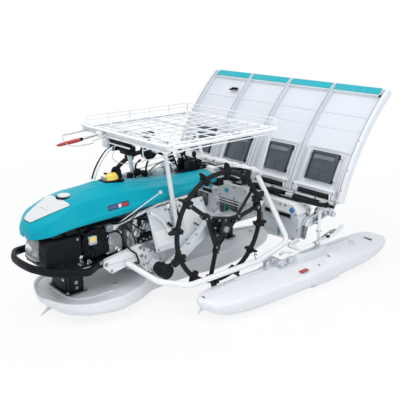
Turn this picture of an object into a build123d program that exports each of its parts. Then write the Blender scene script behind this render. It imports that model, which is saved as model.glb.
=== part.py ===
from build123d import *
import math
import os

os.makedirs("parts", exist_ok=True)

# Walk-behind four-row rice transplanter. Millimetres, +Z up, ground at z = 0, travel towards -Y,
# +X is the machine's left. The length is centred on y = 0.

# Driving dimensions
overall_length = 2140.0
row_pitch = 300.0
track_half = 300.0
seat_gap = 0.3
running_gap = 0.05

# Driving wheel
axle_y = -182.0
wheel_r = 325.0
rim_r = wheel_r - 61
rim_tube_r = 13.5
lug_count = 12
lug_half = 27.0
lug_root_half = 17.0
lug_thick = 10.0
lug_root_r = rim_r - 8
lug_neck_r = rim_r + 16
lug_wide_r = wheel_r - 22
hub_r = 34.0
web_r = 120.0
web_thick = 12.0
spoke_r = 11.0
hub_length = 76.0
axle_r = 15.0
axle_z = wheel_r

# Floats
deck_z = 110.0

# Chassis
mount_top = 255.0
mount_thick = 15.0
mount_half = 128.0
rail_slab_thick = 24.0
beam_half = 30.0
beam_low = 190.0
beam_high = 250.0
beam_back_y = 560.0
case_front_y = -560.0
case_back_y = -330.0
case_half = 95.0
case_low = 125.0
case_high = 420.0
output_y = -460.0
output_z = 156.0

# Planting section
cross_y = 318.0
cross_z = 388.0
cross_r = 14.0
crank_y = 393.0
crank_z = 262.0
crank_throw = 50.0
crank_shaft_r = 14.0
crank_pin_r = 9.0
crank_thick = 12.0
arm_thick = 30.0
cover_half = 128.0
chain_half = 35.0

# Seedling tray
tray_half = 630.0
tray_wall = 20.0
tray_plate = 10.0
divider_thick = 16.0
divider_height = 28.0
lip_z = 415.0
lip_y = 316.0
tray_top_y = 648.0
tray_top_z = 920.0
tray_mid_y = 452.0
tray_mid_z = 697.0

# White tubes
tube_r = 13.5
rack_z = 2 * wheel_r + 108
rack_half = 345.0
rack_front_y = -522.0
rack_back_y = 148.0
post_x = 150.0
hoop_y = 163.0
hoop_top_z = 2 * wheel_r - 130


def bent_tube(points, bends, radius):
    """Add a round tube along straight runs joined by arcs to the current part."""
    with BuildLine() as path:
        if bends:
            FilletPolyline(*points, radius=bends)
        else:
            Polyline(*points)
    with BuildSketch(Plane(origin=path.line @ 0, z_dir=path.line % 0)) as section:
        Circle(radius)
    sweep(section.sketch, path=path.line)


def rod(start, end, radius):
    """Add a straight round rod between two points to the current part."""
    span = Vector(*end) - Vector(*start)
    with BuildSketch(Plane(origin=start, z_dir=span)) as section:
        Circle(radius)
    extrude(section.sketch, amount=span.length)


def block(low, high):
    """Add a box given by its two extreme corners to the current part."""
    size = [b - a for a, b in zip(low, high)]
    middle = [(a + b) / 2 for a, b in zip(low, high)]
    with Locations(tuple(middle)):
        Box(*size)


def across(x):
    """The plane square to X at x, with its own x along +Y and its own y along +Z."""
    return Plane(origin=(x, 0, 0), x_dir=(0, 1, 0), z_dir=(1, 0, 0))


sides = ((1, "left"), (-1, "right"))

# Hood
# y, half width at the lower edge, height of it, half width and height of the crease, of the roof
hood_sections = (
    (-1020, 62, 396, 62, 434, 36, 456),
    (-960, 125, 415, 115, 478, 55, 492),
    (-870, 138, 433, 115, 515, 60, 529),
    (-790, 141, 438, 115, 530, 62, 545),
    (-640, 142, 442, 112, 538, 60, 566),
    (-430, 130, 451, 105, 520, 58, 536),
    (-210, 112, 452, 90, 494, 52, 515),
    (-10, 85, 474, 66, 490, 44, 512),
)
with BuildPart() as hood:
    for y, low_half, low_z, crease_half, crease_z, top_half, top_z in hood_sections:
        with BuildSketch(Plane(origin=(0, y, 0), x_dir=(1, 0, 0), z_dir=(0, -1, 0))):
            with BuildLine():
                Polyline(
                    (-low_half, low_z), (low_half, low_z), (crease_half, crease_z),
                    (top_half, top_z), (-top_half, top_z), (-crease_half, crease_z), close=True)
            make_face()
    loft(ruled=True)
hood.part.label = "hood"
export_step(hood.part, "parts/hood.step")


def roof_plane(y):
    """The plane that lies just over the hood's roof at y, with its own y along the slope."""
    for ahead, behind in zip(hood_sections, hood_sections[1:]):
        if ahead[0] <= y <= behind[0]:
            slope = Vector(0, behind[0] - ahead[0], behind[6] - ahead[6])
            z = ahead[6] + (behind[6] - ahead[6]) * (y - ahead[0]) / (behind[0] - ahead[0])
            normal = Vector(1, 0, 0).cross(slope).normalized()
            return Plane(origin=Vector(0, y, z) + normal * seat_gap, x_dir=(1, 0, 0), z_dir=normal)


cap_y = -830.0
cap_r = 32.0
cap_high = 18.0
with BuildPart() as filler_cap:
    with BuildSketch(roof_plane(cap_y)):
        Circle(cap_r)
    extrude(amount=cap_high)
filler_cap.part.label = "filler_cap"
export_step(filler_cap.part, "parts/filler_cap.step")

latch_y = -590.0
latch_size = (64.0, 84.0, 26.0)
with BuildPart() as hood_latch:
    with BuildSketch(roof_plane(latch_y)):
        Rectangle(*latch_size[:2])
    extrude(amount=latch_size[2])
hood_latch.part.label = "hood_latch"
export_step(hood_latch.part, "parts/hood_latch.step")

# Engine
engine_half = 100.0
engine_front_y = -960.0
engine_top = 408.0
shroud_x = 138.0
with BuildPart() as engine_block:
    block((-engine_half, engine_front_y, mount_top + seat_gap),
          (engine_half, case_front_y - 30, engine_top))
engine_block.part.label = "engine_block"
export_step(engine_block.part, "parts/engine_block.step")

with BuildPart() as engine_shroud:
    block((engine_half + seat_gap, engine_front_y - 40, mount_top + seat_gap),
          (shroud_x, -840, engine_top - 10))
engine_shroud.part.label = "engine_shroud"
export_step(engine_shroud.part, "parts/engine_shroud.step")

recoil_y = -765.0
recoil_z = 338.0
recoil_r = 68.0
recoil_thick = 46.0
with BuildPart() as recoil_starter:
    with BuildSketch(across(shroud_x + seat_gap)):
        with Locations((recoil_y, recoil_z)):
            Circle(recoil_r)
    extrude(amount=recoil_thick, taper=12)
    with BuildSketch(across(engine_half + seat_gap)):
        with Locations((recoil_y, recoil_z)):
            Circle(recoil_r / 2)
    extrude(amount=45)
recoil_starter.part.label = "recoil_starter"
export_step(recoil_starter.part, "parts/recoil_starter.step")

lamp_half = 62.0
lamp_deep = 56.0
with BuildPart() as headlight:
    block((-lamp_half, engine_front_y - lamp_deep, 290), (lamp_half, engine_front_y - seat_gap, 386))
headlight.part.label = "headlight"
export_step(headlight.part, "parts/headlight.step")

muffler_r = 44.0
muffler_back_y = -700.0
muffler_length = 190.0
with BuildPart() as muffler:
    with BuildSketch(Plane.XZ.offset(-muffler_back_y)):
        with Locations((-engine_half - seat_gap - muffler_r, recoil_z - 3)):
            Circle(muffler_r)
    extrude(amount=muffler_length)
muffler.part.label = "muffler"
export_step(muffler.part, "parts/muffler.step")

with BuildPart() as engine_mount:
    block((-mount_half, engine_front_y - 10, mount_top - mount_thick),
          (mount_half, case_front_y - seat_gap, mount_top))
engine_mount.part.label = "engine_mount"
export_step(engine_mount.part, "parts/engine_mount.step")

# Bumper and front carrier
rail_front_y = -742.0
bumper_half = 222.0
bumper_high = 34.0
bumper_thick = 22.0
bumper_z = 288.0
bumper_back_z = 240.0
bumper_back_y = -760.0
front_y = -overall_length / 2
with BuildPart() as front_bumper:
    # x, y of the bumper's corners on one side, from its bracket round to the front
    corners = (
        (mount_half + rail_slab_thick / 2, rail_front_y - 1.4), (mount_half + rail_slab_thick / 2, -765),
        (bumper_half - 12, -850), (bumper_half - 24, -925), (bumper_half - 64, -1008),
        (80, front_y + bumper_thick / 2 + 7), (0, front_y + bumper_thick / 2))
    drop = (bumper_z - bumper_back_z) / (front_y - bumper_back_y)
    left = [(x, y, bumper_back_z + (y - bumper_back_y) * drop) for x, y in corners]
    with BuildLine() as bumper_path:
        Polyline(*left, *[(-x, y, z) for x, y, z in reversed(left[:-1])])
    with BuildSketch(Plane(origin=bumper_path.line @ 0, x_dir=(1, 0, 0), z_dir=bumper_path.line % 0)):
        Rectangle(bumper_thick, bumper_high)
    sweep(transition=Transition.RIGHT)
front_bumper.part.label = "front_bumper"
export_step(front_bumper.part, "parts/front_bumper.step")

pedestal_half = 74.0
link_half = 15.0
with BuildPart() as centre_float_brackets:
    block((-pedestal_half, -880, deck_z + seat_gap),
          (pedestal_half, -800, mount_top - mount_thick - seat_gap))
    block((-link_half, 140, deck_z + seat_gap), (link_half, 180, beam_low - seat_gap))
centre_float_brackets.part.label = "centre_float_brackets"
export_step(centre_float_brackets.part, "parts/centre_float_brackets.step")

# Engine rails (pair of white slabs)
with BuildPart() as engine_rails:
    for side in (1, -1):
        with BuildSketch(across(side * (mount_half + seat_gap))):
            with BuildLine():
                Polyline((rail_front_y, 226), (rail_front_y, 246), (rail_front_y + 24, 257), (-530, 283),
                         (-525, 217), (-700, 184), close=True)
            make_face()
        extrude(amount=side * rail_slab_thick)
engine_rails.part.label = "engine_rails"
export_step(engine_rails.part, "parts/engine_rails.step")

# Transmission and chassis
stub_x = 150.0
stub_r = 30.0
with BuildPart() as transmission_case:
    block((-case_half, case_front_y, case_low), (case_half, case_back_y, case_high))
    for side in (1, -1):
        rod((side * case_half, output_y, output_z), (side * stub_x, output_y, output_z), stub_r)
transmission_case.part.label = "transmission_case"
export_step(transmission_case.part, "parts/transmission_case.step")

with BuildPart() as main_frame:
    block((-beam_half, case_back_y + seat_gap, beam_low), (beam_half, beam_back_y, beam_high))
main_frame.part.label = "main_frame"
export_step(main_frame.part, "parts/main_frame.step")

# Wheel drive
swing_inner = 212.0
swing_thick = 38.0
swing_wide = 84.0
drive_tube_r = 24.0
with BuildPart() as swing_cases:
    for side in (1, -1):
        rod((side * (stub_x + seat_gap), output_y, output_z),
            (side * (swing_inner + 1), output_y, output_z), drive_tube_r)
        with BuildSketch(across(side * swing_inner)):
            with Locations(((output_y + axle_y) / 2, (output_z + axle_z) / 2)):
                SlotCenterToCenter(
                    math.hypot(axle_y - output_y, axle_z - output_z), swing_wide,
                    rotation=math.degrees(math.atan2(axle_z - output_z, axle_y - output_y)))
        extrude(amount=side * swing_thick)
        rod((side * (swing_inner + swing_thick - 1), axle_y, axle_z),
            (side * (track_half + hub_length / 2 + 8), axle_y, axle_z), axle_r)
swing_cases.part.label = "swing_cases"
export_step(swing_cases.part, "parts/swing_cases.step")

for side, name in sides:
    hub_plane = Plane(origin=(side * track_half, axle_y, axle_z), x_dir=(0, 1, 0), z_dir=(1, 0, 0))
    with BuildPart() as wheel:
        with BuildSketch(hub_plane):
            Circle(hub_r)
            Circle(axle_r + running_gap, mode=Mode.SUBTRACT)
        extrude(amount=hub_length / 2, both=True)
        with BuildSketch(hub_plane):
            RegularPolygon(web_r, 3, rotation=-90)
            Circle(hub_r - 1, mode=Mode.SUBTRACT)
        extrude(amount=web_thick / 2, both=True)
        for step in range(3):
            turn = math.radians(120 * step - 90)
            ends = [(side * track_half, axle_y + reach * math.cos(turn), axle_z + reach * math.sin(turn))
                    for reach in (web_r - 20, rim_r - rim_tube_r / 2)]
            rod(*ends, spoke_r)
        # Each lug is a flat paddle across the rim that widens outwards.
        for step in range(lug_count):
            turn = math.radians(360 / lug_count * step - 90)
            outwards = Vector(0, math.cos(turn), math.sin(turn))
            along_rim = outwards.cross(Vector(1, 0, 0))
            with BuildSketch(Plane(hub_plane.origin, x_dir=outwards, z_dir=along_rim)):
                with BuildLine():
                    Polyline((lug_root_r, -lug_root_half), (lug_root_r, lug_root_half),
                             (lug_neck_r, lug_root_half), (lug_wide_r, lug_half), (wheel_r, lug_half - 5),
                             (wheel_r, 5 - lug_half), (lug_wide_r, -lug_half), (lug_neck_r, -lug_root_half),
                             close=True)
                make_face()
            extrude(amount=lug_thick / 2, both=True)
        with Locations(hub_plane.location):
            Torus(rim_r, rim_tube_r)
    wheel.part.label = f"wheel_{name}"
    export_step(wheel.part, f"parts/wheel_{name}.step")

# Floats
# y, half width of the deck, of the bottom, height of the bottom and of the bend in the side
centre_sections = (
    (-972, 62, 32, 74, 88), (-930, 160, 74, 46, 78), (-840, 232, 116, 20, 66), (-702, 250, 148, 0, 60),
    (-580, 215, 130, 0, 54), (-440, 140, 92, 0, 44), (-300, 122, 84, 0, 36), (-130, 126, 90, 0, 36),
    (-20, 150, 110, 0, 40), (120, 130, 98, 0, 40), (300, 80, 58, 0, 40), (430, 40, 24, 12, 44),
    (470, 16, 10, 30, 60),
)
with BuildPart() as centre_float:
    for y, deck_half, low_half, low_z, bend_z in centre_sections:
        with BuildSketch(Plane(origin=(0, y, 0), x_dir=(1, 0, 0), z_dir=(0, -1, 0))):
            with BuildLine():
                Polyline((-low_half, low_z), (low_half, low_z), (deck_half, bend_z), (deck_half, deck_z),
                         (-deck_half, deck_z), (-deck_half, bend_z), close=True)
            make_face()
    loft(ruled=True)
centre_float.part.label = "centre_float"
export_step(centre_float.part, "parts/centre_float.step")

# y, inner x, outer x, height of the bottom and of the bend in the side
side_sections = (
    (-470, 462, 492, 74, 90), (-430, 430, 552, 42, 66), (-330, 405, 592, 6, 40), (-200, 403, 612, 0, 34),
    (0, 403, 622, 0, 34), (360, 403, 627, 0, 36), (600, 403, 624, 8, 42), (730, 414, 606, 34, 60),
    (815, 446, 566, 74, 92),
)
side_deck_z = deck_z - 2
hull_inset = 34.0
# The inner edge is cut away where the outer planting fork goes down.
notch_x = 480.0
notch_y = (172.0, 352.0)
for side, name in sides:
    with BuildPart() as side_float:
        for y, inner, outer, low_z, bend_z in side_sections:
            inset = min(hull_inset, (outer - inner) / 2 - 8)
            with BuildSketch(Plane(origin=(0, y, 0), x_dir=(1, 0, 0), z_dir=(0, -1, 0))):
                with BuildLine():
                    Polyline((side * (inner + inset), low_z), (side * (outer - inset), low_z),
                             (side * outer, bend_z), (side * outer, side_deck_z), (side * inner, side_deck_z),
                             (side * inner, bend_z), close=True)
                make_face()
        loft(ruled=True)
        with Locations((side * (notch_x - 100), sum(notch_y) / 2, 100)):
            Box(200, notch_y[1] - notch_y[0], 300, mode=Mode.SUBTRACT)
    side_float.part.label = f"side_float_{name}"
    export_step(side_float.part, f"parts/side_float_{name}.step")

# Guards, hoop and rack
hoop_x = 188.0
guard_x = 418.0
guard_z = 152.0
guard_knee_z = 205.0
foot_half_y = 60.0
strut_x = 492.0
strut_r = 8.0
# The guard stops where the upper edge of its cut end meets the underside of the cross bar.
guard_lean = Vector(hoop_x - guard_x - 7, 0, hoop_top_z - guard_knee_z).normalized()
guard_end = Vector(hoop_x, 0, hoop_top_z) + guard_lean * (
    (tube_r + seat_gap - tube_r * guard_lean.X) / -guard_lean.Z)
for side, name in sides:
    with BuildPart() as side_guard:
        bent_tube(
            ((side * (mount_half + rail_slab_thick + 6), -622, 217), (side * 330, -577, 170),
             (side * guard_x, -470, guard_z), (side * guard_x, -30, guard_z),
             (side * (guard_x + 7), hoop_y, guard_knee_z),
             (side * guard_end.X, hoop_y, guard_end.Z)),
            (80, 70, 200, 45), tube_r)
    side_guard.part.label = f"side_guard_{name}"
    export_step(side_guard.part, f"parts/side_guard_{name}.step")

# Each side float hangs on a foot under the guard and on a strut from the planting beam.
with BuildPart() as float_brackets:
    for side in (1, -1):
        foot = sorted((side * (guard_x - 14), side * (guard_x + 34)))
        block((foot[0], -foot_half_y, side_deck_z + seat_gap),
              (foot[1], foot_half_y, guard_z - tube_r - seat_gap))
        rod((side * strut_x, cross_y, side_deck_z + seat_gap),
            (side * strut_x, cross_y, cross_z - cross_r - seat_gap), strut_r)
float_brackets.part.label = "float_brackets"
export_step(float_brackets.part, "parts/float_brackets.step")

cross_bar_half = 232.0
rack_stay_r = 9.0
with BuildPart() as cross_bar:
    rod((-cross_bar_half, hoop_y, hoop_top_z), (cross_bar_half, hoop_y, hoop_top_z), tube_r)
    for side in (1, -1):
        rod((side * (cross_bar_half - 12), hoop_y, hoop_top_z),
            (side * 300, rack_back_y, rack_z - 14), rack_stay_r)
cross_bar.part.label = "cross_bar"
export_step(cross_bar.part, "parts/cross_bar.step")

post_foot_y = -329.0
post_top_y = -399.0
post_r = 11.0
post_bracket_z = 350.0
rack_bar = 8.0
rack_side_r = 10.0
wire_r = 4.0
wires_across = 6
wires_along = 5
with BuildPart() as seedling_rack:
    for x in (-rack_half, rack_half):
        rod((x, rack_front_y, rack_z), (x, rack_back_y, rack_z), rack_side_r)
    rod((-rack_half, rack_back_y, rack_z), (rack_half, rack_back_y, rack_z), rack_side_r)
    block((-rack_half - rack_side_r, rack_front_y - 12, rack_z - 18),
          (rack_half + rack_side_r, rack_front_y + 12, rack_z + 14))
    block((-rack_half, post_top_y - 12, rack_z - rack_bar), (rack_half, post_top_y + 12, rack_z))
    for step in range(1, wires_across + 1):
        y = rack_front_y + (rack_back_y - rack_front_y) * step / (wires_across + 1)
        rod((-rack_half, y, rack_z + 6), (rack_half, y, rack_z + 6), wire_r)
    for step in range(1, wires_along + 1):
        x = -rack_half + 2 * rack_half * step / (wires_along + 1)
        rod((x, rack_front_y, rack_z), (x, rack_back_y, rack_z), wire_r)
seedling_rack.part.label = "seedling_rack"
export_step(seedling_rack.part, "parts/seedling_rack.step")

with BuildPart() as rack_posts:
    for side in (1, -1):
        rod((side * post_x, post_foot_y, post_bracket_z - 5),
            (side * post_x, post_top_y, rack_z - rack_bar - seat_gap - 2), post_r)
    block((-post_x - 14, post_foot_y - 16, post_bracket_z - 20),
          (-case_half - seat_gap, post_foot_y + 16, post_bracket_z))
    block((case_half + seat_gap, post_foot_y - 16, post_bracket_z - 20),
          (post_x + 14, post_foot_y + 16, post_bracket_z))
rack_posts.part.label = "rack_posts"
export_step(rack_posts.part, "parts/rack_posts.step")

basket_rise = 50.0
basket_r = 3.5
with BuildPart() as rack_upper_rail:
    foot_z = rack_z + 10 + seat_gap
    top_z = rack_z + basket_rise
    bent_tube(
        ((-rack_half, rack_front_y + 24, foot_z), (-rack_half, rack_front_y + 24, top_z),
         (-rack_half, rack_back_y, top_z), (rack_half, rack_back_y, top_z),
         (rack_half, rack_back_y, foot_z)),
        (14, 26, 14), basket_r)
    for x, y in ((-rack_half, -180), (-rack_half / 3, rack_back_y), (rack_half / 3, rack_back_y)):
        rod((x, y, foot_z), (x, y, top_z), basket_r - 0.5)
rack_upper_rail.part.label = "rack_upper_rail"
export_step(rack_upper_rail.part, "parts/rack_upper_rail.step")

lever_z = rack_z - 18
lever_grip_r = 11.0
lever_rod_r = 5.0
with BuildPart() as front_lever:
    rod((-110, -788, lever_z), (-142, -656, lever_z), lever_grip_r)
    rod((-140, -664, lever_z), (-158, rack_front_y - 13, lever_z + 8), lever_rod_r)
front_lever.part.label = "front_lever"
export_step(front_lever.part, "parts/front_lever.step")

rail_r = 8.0
rail_x = engine_half + rail_r + seat_gap
rail_top_z = 451 - rail_r - seat_gap
with BuildPart() as hood_rails:
    for side in (1, -1):
        bent_tube(
            ((side * rail_x, -671, 384), (side * rail_x, -460, 426), (side * rail_x, -400, rail_top_z),
             (side * rail_x, -225, rail_top_z)), (60, 60), rail_r)
        rod((side * rail_x, post_foot_y, post_bracket_z + seat_gap),
            (side * rail_x, post_foot_y, rail_top_z), 6)
hood_rails.part.label = "hood_rails"
export_step(hood_rails.part, "parts/hood_rails.step")

# A rubber hose from the engine, hung over the left mounting rail and back below it to the gear case.
hose_r = 4.0
hose_x = 158.0
with BuildPart() as hose:
    bent_tube(
        ((100 + seat_gap, -648, 366), (hose_x, -648, 366), (hose_x, -636, 320), (hose_x, -600, 274),
         (hose_x, -571, 250), (hose_x, -552, 192), (case_half + seat_gap, -552, 192)),
        (20, 26, 30, 18, 20), hose_r)
hose.part.label = "hose"
export_step(hose.part, "parts/hose.step")

# A thin rod with a ball, clamped on the front end of the left hood rail, to sight the last row by.
marker_tip = (165.0, -430.0, 515.0)
marker_ball_r = 9.0
clamp_x = rail_x + rail_r + seat_gap
clamp_size = 12.0
with BuildPart() as row_marker:
    block((clamp_x, -668, 378), (clamp_x + clamp_size, -646, 400))
    rod((clamp_x + clamp_size / 2, -660, 392), marker_tip, 2.5)
    with Locations(marker_tip):
        Sphere(marker_ball_r)
row_marker.part.label = "row_marker"
export_step(row_marker.part, "parts/row_marker.step")

# Sloping covers over the wheel drive, held off the gear case by a stud, cut out round the rack posts.
cover_top_x = 120.0
cover_low_x = 190.0
cover_top_z = 428.0
cover_low_z = 240.0
cover_thick = 4.0
cover_back_y = -140.0
cover_length = 340.0
stud_y = -430.0
stud_z = 396.0
cover_lean = (cover_low_x - cover_top_x) / (cover_top_z - cover_low_z)
stud_x = cover_top_x + (cover_top_z - stud_z) * cover_lean
with BuildPart() as side_covers:
    for side in (1, -1):
        with BuildSketch(Plane.XZ.offset(-cover_back_y)):
            with BuildLine():
                Polyline((side * cover_top_x, cover_top_z), (side * (cover_top_x + cover_thick), cover_top_z),
                         (side * (cover_low_x + cover_thick), cover_low_z), (side * cover_low_x, cover_low_z),
                         close=True)
            make_face()
        extrude(amount=cover_length)
        ends = sorted((side * (cover_top_x - 20), side * (cover_low_x + 20)))
        with Locations((sum(ends) / 2, post_foot_y - 3, cover_top_z - 50)):
            Box(ends[1] - ends[0], 60, 116, mode=Mode.SUBTRACT)
        rod((side * (case_half + seat_gap), stud_y, stud_z), (side * (stud_x + 1), stud_y, stud_z), 6)
side_covers.part.label = "side_covers"
export_step(side_covers.part, "parts/side_covers.step")

# Planting section
cross_half = 505.0
gearbox_half = 70.0
rail_foot_z = 404.0
with BuildPart() as planting_beam:
    rod((-cross_half, cross_y, cross_z), (cross_half, cross_y, cross_z), cross_r)
    block((-gearbox_half, 190, beam_high + seat_gap), (gearbox_half, cross_y + 12, rail_foot_z - 4))
    for side in (1, -1):
        for x in (40, 470):
            block((min(side * x, side * (x + 12)), cross_y - 10, cross_z),
                  (max(side * x, side * (x + 12)), cross_y + 10, rail_foot_z))
planting_beam.part.label = "planting_beam"
export_step(planting_beam.part, "parts/planting_beam.step")

lower_rail_half = 600.0
with BuildPart() as lower_rail:
    block((-lower_rail_half, cross_y - 16, rail_foot_z + seat_gap),
          (lower_rail_half, cross_y + 14, lip_z - seat_gap))
lower_rail.part.label = "lower_rail"
export_step(lower_rail.part, "parts/lower_rail.step")

# Each case is a cover plate, a chain case behind it and a foot under the lower rail.
with BuildPart() as planting_cases:
    for side in (1, -1):
        case_x = side * row_pitch
        block((case_x - cover_half, 240, 165), (case_x + cover_half, 300, 372))
        block((case_x - chain_half, 250, 205), (case_x + chain_half, crank_y + 55, 345))
        block((case_x - chain_half, 290, 300), (case_x + chain_half, 346, rail_foot_z - 1))
        with BuildSketch(across(case_x - chain_half - 1)):
            with Locations((cross_y, cross_z)):
                Circle(cross_r + seat_gap)
            with Locations((crank_y, crank_z)):
                Circle(crank_shaft_r + running_gap)
        extrude(amount=2 * chain_half + 2, mode=Mode.SUBTRACT)
planting_cases.part.label = "planting_cases"
export_step(planting_cases.part, "parts/planting_cases.step")

crank_wide = 44.0
crank_clear = 3.0
shaft_half = row_pitch / 2 - arm_thick / 2 - 2 * crank_clear
for side, name in sides:
    case_x = side * row_pitch
    # The crank shaft runs through the case and carries a crank at each end, towards each row.
    with BuildPart() as planting_crank:
        rod((case_x - shaft_half, crank_y, crank_z), (case_x + shaft_half, crank_y, crank_z), crank_shaft_r)
        for end in (-1, 1):
            plane = across(case_x + end * (shaft_half - crank_thick / 2 - crank_clear))
            with BuildSketch(plane):
                with Locations((crank_y, crank_z + crank_throw / 2)):
                    SlotCenterToCenter(crank_throw, crank_wide, rotation=90)
            extrude(amount=crank_thick / 2, both=True)
            rod((case_x + end * (shaft_half - crank_clear), crank_y, crank_z + crank_throw),
                (case_x + end * (row_pitch / 2 + arm_thick / 2 + 4), crank_y, crank_z + crank_throw),
                crank_pin_r)
    planting_crank.part.label = f"planting_crank_{name}"
    export_step(planting_crank.part, f"parts/planting_crank_{name}.step")

rows = (("outer_left", 1.5), ("inner_left", 0.5), ("inner_right", -0.5), ("outer_right", -1.5))
fork_offset = 7.0
fork_thick = 6.0
pin_y = crank_y
pin_z = crank_z + crank_throw
for name, pitches in rows:
    row_x = pitches * row_pitch
    with BuildPart() as planting_arm:
        with BuildSketch(across(row_x)):
            with BuildLine():
                Polyline((pin_y - 145, pin_z - 46), (pin_y - 125, pin_z - 8), (pin_y + 20, pin_z + 28),
                         (pin_y + 66, pin_z + 22), (pin_y + 66, pin_z - 8), (pin_y + 10, pin_z - 26),
                         (pin_y - 110, pin_z - 50), close=True)
            make_face()
        extrude(amount=arm_thick / 2, both=True)
        for fork in (-fork_offset, fork_offset):
            with BuildSketch(across(row_x + fork)):
                with BuildLine():
                    Polyline((pin_y - 142, pin_z - 40), (pin_y - 118, pin_z - 44),
                             (pin_y - 140, pin_z - 112), (pin_y - 150, pin_z - 112), close=True)
                make_face()
            extrude(amount=fork_thick / 2, both=True)
        with BuildSketch(across(row_x)):
            with Locations((pin_y, pin_z)):
                Circle(crank_pin_r + running_gap)
        extrude(amount=arm_thick, both=True, mode=Mode.SUBTRACT)
    planting_arm.part.label = f"planting_arm_{name}"
    export_step(planting_arm.part, f"parts/planting_arm_{name}.step")

# Seedling tray
tray_arc = ((lip_y, lip_z), (tray_mid_y, tray_mid_z), (tray_top_y, tray_top_z))


def tray_strip(front, back):
    """Sketch the band between two offsets of the tray's curve, positive towards the seedlings."""
    middle = Edge.make_three_point_arc(*[Vector(*point) for point in tray_arc])
    centre = middle.arc_center
    radius = middle.radius
    ends = [Vector(*tray_arc[0]), Vector(*tray_arc[2])]
    bow = Vector(*tray_arc[1])

    def moved(point, amount):
        return centre + (point - centre).normalized() * (radius + amount)

    with BuildLine() as band:
        ThreePointArc(moved(ends[0], front), moved(bow, front), moved(ends[1], front))
        Line(moved(ends[1], front), moved(ends[1], back))
        ThreePointArc(moved(ends[1], back), moved(bow, back), moved(ends[0], back))
        Line(moved(ends[0], back), moved(ends[0], front))
    make_face(band.edges())


lane_centres = [row_pitch * step for step in (-1.5, -0.5, 0.5, 1.5)]
upper_rail_y = 546.0
upper_rail_z = 755.0
upper_rail_r = 13.0
upper_rail_half = 420.0
runner_half = 400.0
window_low = 482.0
window_high = 626.0
window_half = 86.0
feed_bar_z = 454.0
feed_bar_half = 118.0
runner_z = (upper_rail_z - 20, upper_rail_z + 10)
plate_half = tray_half - tray_wall - seat_gap
with BuildPart() as seedling_tray:
    with BuildSketch(across(0)):
        tray_strip(0, -tray_plate)
    extrude(amount=plate_half, both=True)
    for x in lane_centres:
        with Locations((x, 390, (window_low + window_high) / 2)):
            Box(2 * window_half, 200, window_high - window_low, mode=Mode.SUBTRACT)
    # Runner on the back that rides on the upper rail.
    block((-runner_half, 507, runner_z[0]),
          (runner_half, upper_rail_y - upper_rail_r - seat_gap, runner_z[1]))
    for x in lane_centres:
        block((x - feed_bar_half, 308, feed_bar_z - 10), (x + feed_bar_half, 342, feed_bar_z + 12))
    # The lower edge is cut level, to slide along the lower rail.
    with Locations((0, lip_y, lip_z + seat_gap - 50)):
        Box(3 * tray_half, 200, 100, mode=Mode.SUBTRACT)
seedling_tray.part.label = "seedling_tray"
export_step(seedling_tray.part, "parts/seedling_tray.step")

with BuildPart() as tray_dividers:
    for step in (-1, 0, 1):
        with BuildSketch(across(step * row_pitch)):
            tray_strip(divider_height, seat_gap)
        extrude(amount=divider_thick / 2, both=True)
    for side in (1, -1):
        with BuildSketch(across(side * (tray_half - tray_wall / 2))):
            tray_strip(divider_height, -tray_plate)
        extrude(amount=tray_wall / 2, both=True)
    with Locations((0, lip_y, lip_z + seat_gap - 50)):
        Box(3 * tray_half, 200, 100, mode=Mode.SUBTRACT)
tray_dividers.part.label = "tray_dividers"
export_step(tray_dividers.part, "parts/tray_dividers.step")

with BuildPart() as press_plates:
    for x in lane_centres:
        with BuildSketch(across(x)):
            tray_strip(12, -8)
        extrude(amount=window_half - seat_gap, both=True)
    with Locations((0, 400, (window_low + window_high) / 2)):
        Box(3 * tray_half, 400, window_high - window_low - 2 * seat_gap, mode=Mode.INTERSECT)
press_plates.part.label = "press_plates"
export_step(press_plates.part, "parts/press_plates.step")

strip_low = 889.0
with BuildPart() as tray_top_strips:
    for x in lane_centres:
        with BuildSketch(across(x)):
            tray_strip(divider_height - 4, seat_gap)
        extrude(amount=(row_pitch - divider_thick) / 2 - seat_gap - 2, both=True)
    with Locations((0, 600, strip_low + 100)):
        Box(3 * tray_half, 400, 200, mode=Mode.INTERSECT)
tray_top_strips.part.label = "tray_top_strips"
export_step(tray_top_strips.part, "parts/tray_top_strips.step")

# Handles and tray support
handle_half = 300.0
grip_r = 19.0
grip_length = 100.0
handle_r = 14.0
handle_end_y = overall_length / 2
handle_z = 800.0
base_r = 20.0
base_y = beam_back_y + base_r + seat_gap
base_z = beam_high - 25
brace_r = 10.0
brace_y = 800.0
brace_z = 660.0
brace_half = 215.0
panel_half = 150.0
tray_stay_x = 185.0
tray_stay_r = 8.0
with BuildPart() as handlebar:
    for side in (1, -1):
        bent_tube(
            ((side * 200, base_y, base_z), (side * 200, 640, 420), (side * brace_half, brace_y, brace_z),
             (side * handle_half, 930, handle_z), (side * handle_half, handle_end_y - 8, handle_z)),
            (60, 90, 70), handle_r)
    rod((-brace_half, base_y, base_z), (brace_half, base_y, base_z), base_r)
    rod((-brace_half, brace_y, brace_z), (brace_half, brace_y, brace_z), brace_r)
handlebar.part.label = "handlebar"
export_step(handlebar.part, "parts/handlebar.step")

with BuildPart() as handle_grips:
    for side in (1, -1):
        plane = Plane(origin=(side * handle_half, handle_end_y - grip_length, handle_z), z_dir=(0, 1, 0))
        with BuildSketch(plane):
            Circle(grip_r)
            Circle(handle_r + seat_gap, mode=Mode.SUBTRACT)
        extrude(amount=grip_length)
handle_grips.part.label = "handle_grips"
export_step(handle_grips.part, "parts/handle_grips.step")

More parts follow.
